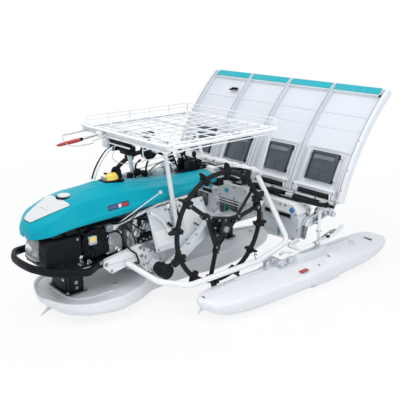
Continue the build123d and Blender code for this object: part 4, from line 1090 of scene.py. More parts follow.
# feed gear under each window: a fluted bar, a ribbed roller on a shaft, and its end plates
flutes = roundCorners([(-15, -9), (15, -9), (15, 8), (11, 11), (7, 8), (3, 11), (-1, 8), (-5, 11), (-15, 11)],
    1.4, 3, closed=True)
parts = []
for x in lanes:
    parts += [
        "trayEdge", swept([(x - 118, 322, 456), (x + 118, 322, 456)], flutes, ref=(0, 0, 1)),
        "stripAluminium", box(x - 108, x + 108, 306.5, 309, 450, 460, 0.8)]
    along = np.linspace(-92, 92, 93)
    ribs = np.stack([11.5 + 1.6 * (np.arange(93) % 4 < 2), along], -1)
    parts += [
        "rubber", turned(np.concatenate([[(4, -95), (11, -94)], ribs, [(11, 94), (4, 95)]]), (x, 311, 432),
        "x", 20, (10, 0.05)), "steel", pipe([(x - 122, 311, 432), (x + 122, 311, 432)], 4)]
    for s in (-1, 1):
        parts += [
            "whitePaint", box(x + s * 106 - 3, x + s * 106 + 3, 300, 330, 418, 448),
            "trayEdge", box(x + s * 124 - 8, x + s * 124 + 8, 302, 324, 420, 470, 3),
            "wornSteel", bolt((x + s * 124, 302, 456), "y", 4.5, -1)]
build("trayFeed", parts, body="tray")

# window boxes: a thick rim, a dark glossy panel with pressed lines, hinge pins on the +X side
parts = []
for x in lanes:
    w, lowZ, highZ = 83.0, 486.0, 622.0
    parts += [
        "slatePanel", trayBar(x - w, x + w, lowZ, highZ, 2, 6, 1.5, 10),
        "slatePlastic", trayBar(x - w, x - w + 7, lowZ, highZ, -6, 13, 2.5, 10),
        trayBar(x + w - 15, x + w, lowZ, highZ, -6, 15, 3, 10), trayBar(x - w, x + w, highZ - 9, highZ, -6,
        13, 2.5, 4), trayBar(x - w, x + w, lowZ, lowZ + 7, -6, 13, 2.5, 4),
        # a lighter band over the panel's upper part: painted reflection
        "slateLight", trayBar(x - w + 14, x + w - 24, highZ - 34, highZ - 18, 6, 7.4, 1, 4),
        "slatePlastic", trayBar(x - w + 12, x + w - 20, lowZ + 50, lowZ + 52.4, 6, 7.6, 0.6, 3),
        trayBar(x - 1.5, x + 1.5, lowZ + 8, lowZ + 50, 6, 7.4, 0.6, 5),
        trayBar(x - w + 22, x - w + 24, lowZ + 10, highZ - 40, 6, 7.2, 0.5, 8)]
    for z in (highZ - 16, lowZ + 12):
        p = trayPoint(x + w + 2, z, 9)
        parts += ["blackPlastic", turned([(2.5, -5), (4.5, -4), (4.5, 8), (3, 9)], p, "x", 12)]
    p = trayPoint(x - w - 3, highZ - 20, 8)
    parts += ["wornSteel", turned([(3, -5), (4, -4), (4, 6), (3, 7)], p, "x", 12)]
build("trayWindows", parts, "press_plates", body="tray")

# dividers: a channel with two thin walls; the outer walls are deep, with painted shade in the gap on the
# inner edge
parts = []
for x in (-rowGap, 0.0, rowGap):
    parts += [
        "trayEdge", trayBar(x - 7, x + 7, 628, 919, 0.2, 15, 1.5, 24),
        "trayWhite", trayBar(x - 8, x - 5.4, 418, 919.5, 0.2, 27.5, 0.9, 36),
        trayBar(x + 5.4, x + 8, 418, 919.5, 0.2, 27.5, 0.9, 36),
        "trayEdge", trayBar(x - 5.2, x + 5.2, 418, 628, 0.2, 10, 1.5, 12)]
    for z in (640, 700, 760, 820, 880):
        parts += ["wornSteel", bolt(trayPoint(x, z, 14), "y", 3, -1)]
half = [
    "trayEdge", trayBar(610.5, 629.5, 418, 919.5, -9.5, 27.5, 3.5, 36),
    "trayWhite", trayBar(603, 609, 420, 918, -1, 24, 1.5, 36),
    "seamDark", trayBar(608.2, 609.8, 422, 912, 23.4, 26.6, 0.3, 36),
    "trayEdge", box(612, 630, 296, 326, 418, 434, 3)]
for z, out in ((470, 27), (560, 27), (690, 27), (905, 26)):
    half += ["wornSteel", turned([(4, -1), (4, 2), (2, 3)], trayPoint(618, z, out), "y", 10)]
parts += mirrored(half) + half
parts += ["blackPlastic", softBox(trayPoint(604, 886, 18) - (8, 9, 7), trayPoint(604, 886, 18) + (6, 9, 9))]
build("trayDividers", parts, "tray_dividers", crease=30, body="tray")

parts = []
for x in lanes:
    parts += [
        "trayEdge", trayBar(x - 141, x + 141, 889.5, 920, 0.4, 20, 1.5, 6),
        "labelTeal", trayBar(x - 138, x + 138, 893.5, 919, 19.5, 24, 1.6, 6)]
    if x > 300:
        for seam in (-22, 40):
            parts += ["panelWhite", trayBar(x + seam, x + seam + 1, 895, 918, 23.9, 24.25, 0.3, 4)]
# a small black bracket on top of the outer right lane, with its tongue
p = trayPoint(-372, 838, 14)
parts += [
    "blackPlastic", softBox(p - (22, 12, 5), p + (16, 10, 7), 3), softBox(p - (30, 22, 9), p + (-10, 2, 1),
    3), softBox(trayPoint(-306, 921, 14) - (5, 6, 2), trayPoint(-306, 921, 14) + (5, 6, 5))]
build("trayTopStrips", parts, "tray_top_strips", body="tray")
print("tray")

# Engine rails, gear case and chassis

railPlate = {
    "thick": 24.0, "inner": 128.3, "outline": [(-742, 226), (-742, 246), (-718, 257), (-530, 283),
    (-525, 217), (-700, 184)]}


# A shallow pan: the outline carried through rings that draw in towards the outer face, then sink into it.
def panPlate(outline, x0, x1, edge=5.0, sunk=2.0, cut=8.0):
    pts = roundCorners(outline, cut, closed=True)
    middle = pts.mean(0)
    reach = np.abs(pts - middle).max()
    s = 1 if x1 > x0 else -1
    rings = [
        (x0, 1.0), (x1 - s * edge, 1.0), (x1 - s * edge * 0.3, 1 - edge * 0.3 / reach),
        (x1, 1 - edge / reach), (x1, 1 - 3 * edge / reach), (x1 - s * sunk, 1 - 3.6 * edge / reach)]
    grid = np.array([atX(x, middle + (pts - middle) * k) for x, k in rings])
    return skin(grid if s > 0 else grid[::-1])


x0, x1 = railPlate["inner"], railPlate["inner"] + railPlate["thick"]
half = [
    "whitePaint", panPlate(railPlate["outline"], x0, x1),
    "greyPaint", box(x1 - 3, x1 + 0.4, -712, -545, 229, 233, 0.8), "wornSteel", bolt((x1, -728, 236), "x", 7),
    bolt((x1, -542, 270), "x", 7), bolt((x1, -536, 228), "x", 7), bolt((x1, -700, 198))]
build("engineRails", mirrored(half) + half, "engine_rails")

# gear case: a stack of cast boxes with ribs, flanges and bolted covers on both sides
gearCase = {"drive": (-460.0, 156.0)}
driveY, driveZ = gearCase["drive"]
parts = [
    "cast", box(-66, 66, -556, -334, 132, 330, 9), "darkCast", box(-56, 56, -548, -352, 322, 416, 12),
    "cast", box(-93, 93, -470, -334, 300, 352, 8), box(-84, 84, -404, -336, 128, 306, 10)]
half = [
    "cast", turned([(46, 0), (48, 2), (48, 10), (42, 14), (38, 22), (30, 26), (30, 82), (27, 84), (12, 84)],
    (66, driveY, driveZ + 10), "x", 40),
    turned([(39, 0), (41, 2), (41, 12), (36, 15), (16, 17), (12, 24), (3, 25)], (66, -500, 236), "x", 32),
    turned([(26, 0), (28, 1), (28, 16), (22, 19), (4, 20)], (66, -420, 268), "x", 28),
    turned([(15, 0), (15, 12), (12, 14), (4, 14)], (66, -536, 160), "x", 20)]
for y, z in ((-548, 196), (-548, 296), (-470, 310), (-410, 214), (-430, 140), (-510, 140), (-345, 190),
        (-345, 250)):
    half += [
        "cast", turned([(9, 0), (9, 13), (7, 15), (4, 15)], (64, y, z), "x", 12),
        "wornSteel", bolt((79, y, z), "x", 5.5)]
half += ["wornSteel", boltRing(76, driveY, driveZ + 10, 42, 4.5), boltRing(78, -500, 236, 35, 4)]
for y in (-540, -516, -492, -468, -444):  # upright ribs below the carrier
    half += ["cast", box(66, 84, y - 2, y + 2, 250, 322, 1.5)]
for z in (176, 206, 292):  # flange lines round the body
    half += ["cast", box(66, 71, -554, -336, z - 2.5, z + 2.5, 1.2)]
# control block with its spools and pipes, in front of the cover
half += ["blackPaint", box(70, 94, -512, -424, 262, 314, 3)]
for k, y in enumerate((-502, -484, -466, -448, -432)):
    half += [
        "steel", pipe([(86, y, 300), (90, y, 322), (88, y + 6, 344)], 3.2, 8, 8),
        turned([(6, 0), (6, 5), (4.5, 7)], (94, y, 276 + 8 * (k % 2)), "x", 10)]
half += [
    "whitePaint", pipe([(74, -532, 330), (86, -500, 352), (84, -440, 372), (72, -396, 380)], 4, 16, 10),
    "blackPaint", pipe([(60, -546, 372), (84, -520, 380), (90, -462, 394), (64, -420, 404)], 3, 14, 8),
    "rubber", pipe([(56, -550, 350), (88, -530, 300), (92, -520, 250)], 3, 16, 8)]
parts += mirrored(half) + half
# the final drive's front casting, angled, with its boss on the drive tube; their lighter colour is painted
# light
half = []
frontCastings = [
    ([(-540, 226), (-520, 256), (-470, 240), (-404, 172), (-412, 128), (-486, 122), (-526, 170)],
        84, 138, "brightCast"),
    ([(-530, 222), (-514, 242), (-484, 230), (-496, 190), (-520, 184)], 136, 147, "brightCast"),
    ([(-476, 218), (-462, 222), (-424, 178), (-432, 168)], 136, 144, "cast")]
for outline, x0, x1, coat in frontCastings:
    half += [coat, panPlate(outline, x0, x1, 5, 2, 10)]
half += [
    "brightCast", turned([(36, 0), (36, 12), (33, 16), (31, 26), (33, 28), (33, 36), (28, 38)],
    (132, -456, 158), "x", 36), "steel", pipe([(136, -500, 176), (152, -494, 172), (152, -470, 196)], 4, 10,
    8), "darkCast", box(136, 146, -520, -504, 200, 226)]
for y, z in ((-530, 232), (-512, 247), (-476, 233), (-418, 178), (-420, 136), (-490, 132), (-516, 174)):
    half += ["wornSteel", bolt((137, y, z))]
parts += mirrored(half) + half
build("gearCase", parts, "transmission_case", crease=40)

# linkage, wires and small steel parts that fill the space between the hood and the gear case
half = [
    "blackPaint", box(70, 92, -556, -380, 398, 402, 1.2),
    "blackPlastic", pipe([(97, -556, 402), (112, -520, 396), (112, -470, 380), (100, -440, 360)], 3, 18, 8),
    "rubber", pipe([(98, -556, 380), (118, -536, 362), (112, -500, 330), (98, -470, 322)], 3.5, 16, 8),
    pipe([(98, -350, 432), (110, -300, 436), (106, -240, 438), (70, -180, 430)], 3.5, 18, 8),
    "steel", box(96, 104, -548, -520, 338, 392), "blackPaint", box(96, 101, -516, -496, 350, 396)]
for k in range(9):
    y, z = -546 + 19 * k, 386 - 9 * (k % 3) - 14 * (k % 2)
    half += [
        "steel" if k % 2 else "blackPaint", turned([(5, 0), (6.5, 1), (6.5, 7), (3, 9), (3, 12)], (96, y, z),
        "x", 10)]
for y, z, r in ((-522, 318, 17), (-470, 350, 13)):
    half += ["steel", turned([(r * 0.4, 0), (r, 1), (r, 5), (r * 0.7, 7), (3, 8)], (94, y, z), "x", 20)]
build("linkage", mirrored(half) + half)

parts = ["whitePaint", box(-30, 30, -329.7, 560, 190, 250, 6)]
half = []
for y in (-300, -240, 120, 190, 330, 500, 545):
    half += ["wornSteel", bolt((30, y, 220), "x", 7)]
half += [
    "greyPaint", box(30, 34, 170, 350, 196, 244), box(30, 36, 520, 562, 186, 246),
    box(30, 36, -320, -270, 196, 246), "rubber", pipe([(38, -318, 236), (40, -100, 240), (38, 180, 238)], 4,
    10, 8), "steel", pipe([(38, -318, 210), (40, -60, 206), (38, 300, 212)], 5, 10, 8)]
parts += mirrored(half) + half
build("frameBeam", parts, "main_frame")

# swing cases: two cast shells round the final chain, with ribs, a joint line and bolts
swing = {"inner": 212.0, "thick": 38.0, "low": (driveY, driveZ), "axle": wheelSize["axle"]}


def swingCase():
    a, b = np.array(swing["low"]), np.array(swing["axle"])
    u = (b - a) / np.linalg.norm(b - a)
    n = np.array([-u[1], u[0]])
    t = np.linspace(-np.pi / 2, np.pi / 2, 13)
    outline = np.concatenate([b + 40 * (np.cos(t)[:, None] * u + np.sin(t)[:, None] * n),
        [a + 0.62 * (b - a) + 21 * n, a + 0.3 * (b - a) + 20 * n],
        a + 31 * (-np.cos(t)[:, None] * u - np.sin(t)[:, None] * n),
        [a + 0.3 * (b - a) - 20 * n, a + 0.62 * (b - a) - 21 * n]])
    low, high = swing["inner"], swing["inner"] + swing["thick"]
    mid = (low + high) / 2
    rings = [
        (low, 0.84), (low + 3, 0.93), (mid - 5, 0.96), (mid - 4.5, 1.0), (mid + 4.5, 1.0), (mid + 5, 0.96),
        (high - 3, 0.93), (high, 0.84)]
    centre = (a + b) / 2
    grid = []
    for x, k in rings:
        p = outline - centre
        along, over = p @ u, p @ n
        grid.append(atX(x, centre + np.outer(along * (1 - (1 - k) * 0.25), u) + np.outer(over * k, n)))
    parts = ["coverGrey", skin(np.array(grid))]
    for at, r in ((a, 30), (b, 32)):
        parts += [
            "rubber" if r == 30 else "cast", turned([(r, 0), (r, 3), (r * 0.8, 6), (r * 0.55, 6.5),
            (r * 0.5, 9), (3, 9.5)], (high - 2, at[0], at[1]), "x", 28)]
    for k in (0.16, 0.34, 0.52, 0.70, 0.86):
        for sign in (-1, 1):
            p = a + k * (b - a) + sign * 22 * n
            parts += [
                "cast", turned([(7, -9), (7, 9), (5, 10)], (mid, p[0], p[1]), "x", 12),
                "wornSteel", bolt((mid + 10, p[0], p[1]), "x", 4.5)]
    ribLow, ribHigh = a + 0.2 * (b - a), a + 0.8 * (b - a)
    for off in (-10, 10):
        parts += [
            "cast", pipe([(high - 2, *(ribLow + off * n)), (high - 2, *(ribHigh + off * n))], 3.5, sides=8)]
    # the low end's rubber boot, drawn over the case and the drive tube
    boot = [
        (26, 0), (28, 3), (26, 6), (29, 9), (27, 12), (30, 15), (28, 18), (36, 34), (36, 80), (30, 86),
        (12, 88)]
    parts += [
        "rubber", turned(boot, (168, a[0], a[1]), "x", 36),
        "blackPaint", pipe([(150.3, *a), (213, *a)], 24, sides=24),
        "rubber", turned([(26, 0), (29, 1), (29, 9), (26, 10)], (158, *a), "x"),
        turned([(26, 0), (30, 1), (30, 12), (26, 13)], (198, *a), "x"),
        turned([(24.5, 0), (27, 4), (25, 8), (27, 12), (25, 16), (27, 20), (24.5, 24)], (170, *a), "x"),
        "darkCast", pipe([(249, *b), (346, *b)], 14.9, sides=20),
        "rubber", pipe([(236, -452, 184), (262, -452, 196), (262, -420, 222), (238, -400, 232)], 7, 14)]
    # lift rod from the case up to the frame
    parts += [
        "blackPaint", pipe([(243, -52, 300), (244, -20, 330), (244, 84, 446)], 8, 20),
        turned([(9, 0), (15, 1), (15, 11), (9, 12)], (238, 84, 446), "x"),
        pipe([(243, -150, 330), (243, -100, 290), (243, -52, 300)], 9, 20)]
    return parts


swingParts = swingCase()
build("swingCases", swingParts + mirrored(swingParts), "swing_cases", crease=38)

# sloping covers, pressed and folded, with the bent steadying rail and a rubber pad
coverSize = {"top": (120.0, 428.0), "low": (190.0, 240.0)}


def coverX(z):  # how far out the sloping cover is at height z
    (x0, z0), (x1, z1) = coverSize["top"], coverSize["low"]
    return x0 + (z0 - z) * (x1 - x0) / (z0 - z1) + 4


half = []
for y0, y1, z0, z1 in ((-480, -362, 240, 428), (-302, -140, 240, 428), (-362, -302, 240, 320)):
    z, y = np.linspace(z0, z1, 14), np.linspace(y0, y1, 10)
    lift = np.full((14, 10), -2.6)
    if z1 > 400:
        lift[-2:] = -6.0  # the folded top edge
    grid = np.stack([coverX(z)[:, None] + lift, np.repeat(y[None], 14, 0), np.repeat(z[:, None], 10, 1)], -1)
    half += ["coverGrey", slab(grid[:, ::-1], 3.2)]
for y0, y1, z0, z1 in ((-466, -376, 262, 330), (-286, -156, 262, 392)):  # raised panels
    z, y = np.linspace(z0, z1, 8), np.linspace(y0, y1, 8)
    grid = np.stack([np.repeat((coverX(z) - 0.2)[:, None], 8, 1), np.repeat(y[None], 8, 0),
        np.repeat(z[:, None], 8, 1)], -1)
    half += ["whitePaint", slab(grid[:, ::-1], 3.0)]
rail = [(150, -481, 423), (158, -440, 396), (167, -414, 366), (178, -400, 330), (184, -394, 306)]
half += [
    "whitePaint", pipe(rail, 5.5, 14), "rubber", pipe([(160, -386, 357), (168, -368, 338)], 6.5),
    "whitePaint", box(176, 190, -412, -378, 292, 312, 4),
    "steel", pipe([(95.3, -430, 396), (131, -430, 396)], 6)]
for y, z in ((-468, 412), (-376, 412), (-290, 412), (-152, 412), (-468, 250), (-152, 250), (-300, 256),
        (-392, 342)):
    half += ["wornSteel", bolt((coverX(z) - 1, y, z))]
# cable guides and the float sensor's rod, behind the cover's rear edge
half += [
    "whitePaint", box(172, 186, -236, -170, 300, 306, 1.5), "cast", box(160, 196, -250, -206, 246, 262, 4),
    "steel", turned([(16, 0), (18, 1), (18, 10), (8, 13), (3, 13)], (186, -230, 276), "x", 20),
    "rubber", pipe([(176, -240, 330), (196, -206, 300), (184, -160, 262)], 3.5, 16, 8),
    "blackPlastic", pipe([(172, -200, 352), (190, -180, 320), (188, -150, 296), (170, -110, 280)], 3, 14, 8)]
build("sideCovers", mirrored(half) + half, "side_covers", crease=30)
print("chassis")

# Planting section


# A plate pressed in the X-Z plane: its outline drawn in towards the front face, with a shallow sunk field.
def frontPlate(outline, y0, y1, edge=4.0, sunk=1.6, cut=10.0):
    points, faces = panPlate(outline, -y0, -y1, edge, sunk, cut)
    return np.stack([points[:, 1], -points[:, 0], points[:, 2]], -1), faces


plantingCase = {"half": 128.0, "low": 165.0, "chainHalf": 35.0}


def caseCover(x, near):
    low, half = plantingCase["low"], plantingCase["half"]
    outline = [
        (x - half, 196), (x - half, 330), (x + half - 30, 330), (x + half, 300), (x + half, 214),
        (x + half - 34, low + 12), (x - half + 40, low)]
    parts = [
        "coverGrey", frontPlate(outline, 300, 243, 5, 1.6, 14),
        "whitePaint", frontPlate([(x - half + 2, 318), (x - half + 2, 352), (x - half + 14, 366),
        (x + half - 40, 366), (x + half - 12, 338), (x + half - 8, 318)], 296, 240.4, 5, 1.2, 8),
        box(x - half + 10, x + half - 44, 250, 300, 352, 372, 6),
        "blueCap" if near else "labelTeal", turned([(13, 0), (14, 1), (14, 7), (11, 10.5), (4, 12)],
        (x + (78 if near else 60), 241, 338), "y", 28, out=-1)]
    # two sunk slots with a bright rail in front of each
    for x0, x1 in ((x - 112, x - 34), (x - 12, x + 66)):
        parts += [
            "blackPlastic", box(x0, x1, 241.5, 243.6, 292, 312, 0.9),
            "steel", pipe([(x0 - 6, 239, 288), (x1 + 6, 239, 288)], 3.2, sides=10),
            "greyPaint", box(x0 - 4, x1 + 4, 240, 243.4, 312, 315, 0.9)]
    parts += [
        "greyPaint", box(x - half + 14, x + half - 40, 241.4, 243.8, 196, 199, 0.8),
        box(x - half + 14, x + half - 14, 241.4, 243.8, 262, 265, 0.8)]
    if near:
        parts += [
            "red", box(x - 12, x - 2, 236.5, 240.5, 262, 288, 1),
            "green", box(x - 12, x - 2, 236.5, 240.5, 186, 256, 1)]
    else:
        parts += [
            "slatePanel", box(x - 108, x + 34, 237, 241.6, 206, 286, 3),
            "steel", pipe([(x - 116, 236, 292), (x + 52, 236, 292)], 3, sides=8),
            "green", box(x - 62, x - 52, 235.5, 238, 216, 262, 1)]
    for bx, bz in ((x - half + 12, 326), (x + half - 24, 320), (x + half - 12, 240), (x + half - 40, 184),
            (x - half + 12, 210), (x - 4, 352), (x + 30, 352)):
        parts += ["wornSteel", bolt((bx, 241.5, bz), "y", 5, -1)]
    # bearing housings at both ends
    for s in (-1, 1):
        hx = x + s * (half - 2)
        parts += [
            "cast", turned(even((12, 8), (30, 7), (32, 4)), (hx - s * 6, 272, 262), "x", 30),
            turned([(20, -12), (20, 12), (16, 14), (4, 14)], (hx - s * 8, 272, 262), "x", out=s)]
    return parts


# The chain case behind the cover: a cast box carried across the row, with ribs and a ring of bolts.
def chainCase(x):
    half = plantingCase["chainHalf"]
    outline = [
        (262, 214), (262, 336), (300, 343), (412, 330), (440, 306), (446, 262), (440, 222), (414, 206),
        (300, 207)]
    neck = [(296, 328), (296, 390), (304, 402), (332, 402), (342, 390), (346, 328)]
    parts = [
        "cast", panPlate(outline, x, x + half, 5, 2, 12), panPlate(outline, x, x - half, 5, 2, 12),
        panPlate(neck, x, x + 26, 4, 2, 6), panPlate(neck, x, x - 26, 4, 2, 6)]
    for s in (-1, 1):
        face = x + s * half
        ring = [(30, 0), (31, 1), (31, 6), (26, 9), (22, 9), (21, 3), (15, 3)]
        parts += ["cast", turned(ring, (face - s * 3, 393, 262), "x", 32, out=s)]
        for y, z in ((276, 226), (276, 322), (330, 218), (330, 330), (384, 216), (396, 322), (430, 290),
                (430, 236)):
            parts += ["wornSteel", bolt((face - s * 0.5, y, z), "x", 4.5, s)]
        for y in (310, 336, 362):
            parts += ["cast", box(face - s * 3, face + s * 1.5, y - 2, y + 2, 226, 318, 1)]
        parts += ["wornSteel", bolt((x + s * 26, 318, 388), "x", 7, s)]
    parts += [
        "blackPlastic", turned([(10, 0), (10, 8), (7, 10), (3, 10)], (x + 12, 410, 328), "z", 12),
        "rubber", pipe([(x - 20, 300, 340), (x - 34, 286, 366), (x - 60, 276, 384), (x - 96, 282, 392)], 4.5,
        18, 10)]
    return parts


parts = []
for x, near in ((rowGap, True), (-rowGap, False)):
    parts += caseCover(x, near) + chainCase(x)
build("plantingCases", parts, "planting_cases", crease=36)

# cross beam with its gearbox, the two rail feet and black boots over the feed shaft
parts = [
    "blackPaint", pipe([(-505, 318, 388), (505, 318, 388)], 14, sides=24),
    "cast", box(-70, 70, 204, 328, 254, 388, 14), "darkCast", box(-50, 50, 196, 330, 270, 400, 12)]
half = [
    "cast", turned([(44, 0), (46, 2), (46, 8), (34, 12), (24, 14), (22, 26), (3, 27)], (66, 262, 322), "x",
    32), "wornSteel", boltRing(74, 262, 322, 39, 4.5, 15)]
for x in (46, 476):
    half += [
        "blackPaint", box(x - 6, x + 6, 306, 330, 384, 404), turned(even((14.6, 9), (18, 8)), (x, 318, 388),
        "x")]
half += [
    "steel", turned(even((14.6, 6), (17, 5)), (500, 318, 388), "x"),
    "rubber", pipe([(80, 300, 350), (130, 286, 360), (172, 280, 340)], 9, 20)]
parts += mirrored(half) + half
# the centre case's cover, seen through the wheel: a pale shell, a dark window and a teal cap
centreShell = [(-112, 312), (-112, 386), (-98, 400), (98, 400), (114, 384), (114, 324), (100, 312)]
parts += [
    "coverGrey", frontPlate(centreShell, 232, 184, 5, 1.6, 12),
    # the thin lighter line across the dark window: painted reflection
    "slatePanel", box(-106, 28, 187, 196, 222, 309, 4), "slateLight", box(-98, 20, 185, 188, 268, 272, 1),
    "cast", box(34, 108, 190, 214, 236, 310, 6),
    "steel", pipe([(-120, 180, 306), (112, 180, 306)], 3, sides=8),
    pipe([(-116, 181, 290), (60, 181, 290)], 2.5, sides=8), "green", box(-64, -52, 183.5, 187.5, 236, 290, 1),
    "labelGrey", box(-30, -6, 183.5, 187.5, 226, 258, 1),
    "labelTeal", turned([(10, 0), (12, 1), (12, 9), (9, 13), (4, 14)], (-44, 186, 364), "y", out=-1)]
for x, z in ((-100, 326), (-100, 386), (100, 384), (102, 330), (10, 388), (10, 324)):
    parts += ["wornSteel", bolt((x, 185, z), "y", 5, -1)]
build("plantingBeam", parts, "planting_beam", crease=38)

# lower rail: a folded channel; below its front edge run the bellows boots and the wiring
channel = [
    (-15, -5.4), (13, -5.4), (13.6, 0), (13, 5.2), (9.6, 5.2), (9.6, -1.5), (-11, -1.5), (-11, 5.2),
    (-15, 5.2)]
parts = ["whitePaint", swept([(-600, 318, 409.8), (600, 318, 409.8)], channel, ref=(0, 0, 1))]
for x in (-590, -470, -330, -180, -46, 46, 180, 330, 470, 590):
    parts += ["wornSteel", bolt((x, 303, 409), "y", 5, -1)]


# A boot: a tube whose radius ripples along it, r = r0 + ripple * |sin|, hung in a slight curve.
def bellows(x0, x1, centre, radius, ripple, folds, sag=0.0, lift=0.0):
    n = folds * 6 + 1
    t = np.linspace(0, 1, n)
    r = radius + ripple * np.abs(np.sin(t * folds * np.pi))
    a = around(14)
    grid = np.empty((n, 14, 3))
    grid[..., 0] = (x0 + (x1 - x0) * t)[:, None]
    grid[..., 1] = centre[0] + r[:, None] * np.cos(a)
    drop = sag * np.sin(np.pi * t) - lift * np.clip(t - 0.8, 0, 1) ** 2 * 25
    grid[..., 2] = centre[1] + r[:, None] * np.sin(a) - drop[:, None]
    return skin(grid)


parts += [
    "rubber", bellows(60, 262, (286, 398), 9, 3.5, 20, 4), bellows(338, 560, (288, 394), 9, 3.5, 22, 6, 10),
    bellows(-560, -338, (288, 394), 9, 3.5, 22, 6), bellows(-262, -60, (286, 398), 9, 3.5, 20, 4),
    pipe([(-560, 292, 380), (-330, 284, 372), (0, 286, 384), (330, 284, 376), (556, 290, 388)], 6, 60),
    pipe([(556, 290, 396), (576, 291, 395), (594, 293, 395)], 8, 16)]
half = [
    "cast", box(552, 580, 296, 334, 384, 404, 4), box(561, 571, 300, 330, 340, 388, 3),
    "steel", turned(even((12, 18), (14, 16)), (566, 315, 350), "x", 20),
    "cast", turned(even((8, 30), (9, 28)), (150, 304, 366), "x", 16), box(134, 166, 290, 326, 372, 404, 3)]
parts += mirrored(half) + half
build("lowerRail", parts, "lower_rail", crease=36)

crankSize = {"y": 393.0, "z": 262.0, "throw": 50.0}


def plantingCrank(name, x):
    y, z, throw = crankSize["y"], crankSize["z"], crankSize["throw"]
    t = np.linspace(0, np.pi, 17)
    slot = np.concatenate([np.column_stack([22 * np.cos(t), throw + 22 * np.sin(t)]),
        np.column_stack([-22 * np.cos(t), -22 * np.sin(t)])]) + (y, z)
    parts = ["wornSteel", turned(even((10, 128), (14, 126), (14, 40), (13, 38)), (x, y, z), "x")]
    for s in (-1, 1):
        face = x + s * 120
        parts += [
            "darkCast", panPlate(slot, face - s * 6, face + s * 6, 3, 1.2, 1),
            "steel", turned(even((15, 9), (19, 8)), (face - s * 12, y, z), "x"),
            turned([(8.9, -14), (8.9, 44), (7, 46)], (face + s * 6, y, z + throw), "x", 20, out=s),
            "wornSteel", turned([(7, -1), (7, 6), (3, 7)], (face + s * 5, y, z + 22), "x", 6, out=s)]
    build(f"crank_{name}", parts, f"planting_crank_{name}", crease=34, body=f"crank_{name}")


plantingCrank("left", rowGap)
plantingCrank("right", -rowGap)

armSize = {
    "body": [(-145, -46), (-126, -10), (20, 28), (66, 22), (66, -8), (10, -26), (-110, -50)],
    "tine": [(-142, -40), (-118, -44), (-138, -108), (-147, -111), (-150, -110)]}


# The arm: a cast shell in two halves with a joint flange, the pusher in its nose and two steel tines.
def plantingArm(name, x):
    pin = np.array([crankSize["y"], crankSize["z"] + crankSize["throw"]])
    py, pz = pin
    body = np.array(armSize["body"], float) * 0.985 + pin
    parts = []
    for s in (-1, 1):
        parts += [
            "cast", panPlate(body, x, x + s * 14.6, 5, 1.8, 12),
            turned([(22, 0), (23, 1), (23, 4), (18, 5.5), (10.5, 5.5), (10, 2)], (x + s * 9.6, *pin), "x", 28,
            out=s), "wornSteel", panPlate(np.array(armSize["tine"], float) + pin, x + s * 4.4, x + s * 9.6,
            1.0, 0.4, 2)]
        inner = body.mean(0) + (body - body.mean(0)) * (0.62, 0.5)
        parts += [
            "darkCast", panPlate(inner, x + s * 12, x + s * 16.2, 3, 1, 6),
            "blackPaint", box(x + s * 15, x + s * 17.5, py - 70, py - 28, pz - 24, pz - 16, 1)]
        for dy, dz in ((-118, -22), (-84, -10), (-50, -2), (-84, -38), (-40, -32), (40, 16), (54, 2),
                (30, -10)):
            parts += ["wornSteel", bolt((x + s * 13, py + dy, pz + dz), "x", 3.5, s)]
    rim = roundCorners(body, 14, 6, closed=True)
    parts += [
        "darkCast", swept(atX(x, rim), [(-2.2, -2), (2.2, -2), (2.2, 0.5), (-2.2, 0.5)], ref=(1, 0, 0),
        loop=True), "steel", pipe([(x, py - 128, pz - 36), (x, py - 137, pz - 74)], 4.2, sides=10),
        box(x - 3.5, x + 3.5, py - 143, py - 129, pz - 88, pz - 72),
        "rubber", turned([(9, -6), (10.5, -4), (9, 0), (10.5, 3), (8.5, 6)], (x, py - 126, pz - 42), "z", 16),
        "blackPlastic", turned([(6, 0), (6, 6), (4, 8), (2, 8)], (x, py - 60, pz + 7), "z", 12)]
    build(f"arm_{name}", parts, f"planting_arm_{name}", crease=36, body=f"arm_{name}")


for name, x in zip(("outer_left", "inner_left", "inner_right", "outer_right"), lanes[::-1]):
    plantingArm(name, x)
print("planting section")

# Handles, panel and controls

handleSize = {"half": 300.0, "z": 800.0, "end": 1070.0, "grip": 100.0}
along = np.linspace(0, handleSize["grip"], 81)
ribbed = np.sin(along / handleSize["grip"] * np.pi * 22) > -0.2
radius = 17.4 + 1.5 * ribbed - 1.6 * (along < 3) - 2 * (along > 97)
profile = np.column_stack([np.concatenate([[14.4], radius, [14.4, 3]]),
    np.concatenate([[0], along, [99.9, 100]])])
half = [
    "rubber", turned(profile, (handleSize["half"], handleSize["end"] - handleSize["grip"], handleSize["z"]),
    "y", 28)]
build("gripSleeves", mirrored(half) + half, "handle_grips", crease=30)

x = handleSize["half"]
half = [
    "blackPlastic", box(x - 17, x + 17, 930, 956, 782, 820, 4),
    "blackPaint", pipe([(x + 2, 944, 790), (x + 4, 980, 768), (x + 4, 1056, 762)], 4.2, 22, 10),
    "blackPlastic", turned(even((3, 7), (6.5, 3)), (x + 4, 1058, 762), "y", 14),
    "rubber", pipe([(x - 6, 930, 794), (x - 30, 890, 758), (222, 800, 690), (190, 700, 540), (178, 600, 300)],
    3.4, 50, 8), pipe([(x - 8, 930, 806), (x - 40, 880, 792), (170, 850, 742)], 3.0, 40, 8)]
for y, z in ((640, 424), (720, 540)):
    px = 200 + 15 * (z - 420) / 240
    half += ["blackPlastic", turned(even((14.4, 5), (16, 4)), (px, y, z), "z", 20)]
build("handleLevers", mirrored(half) + half)

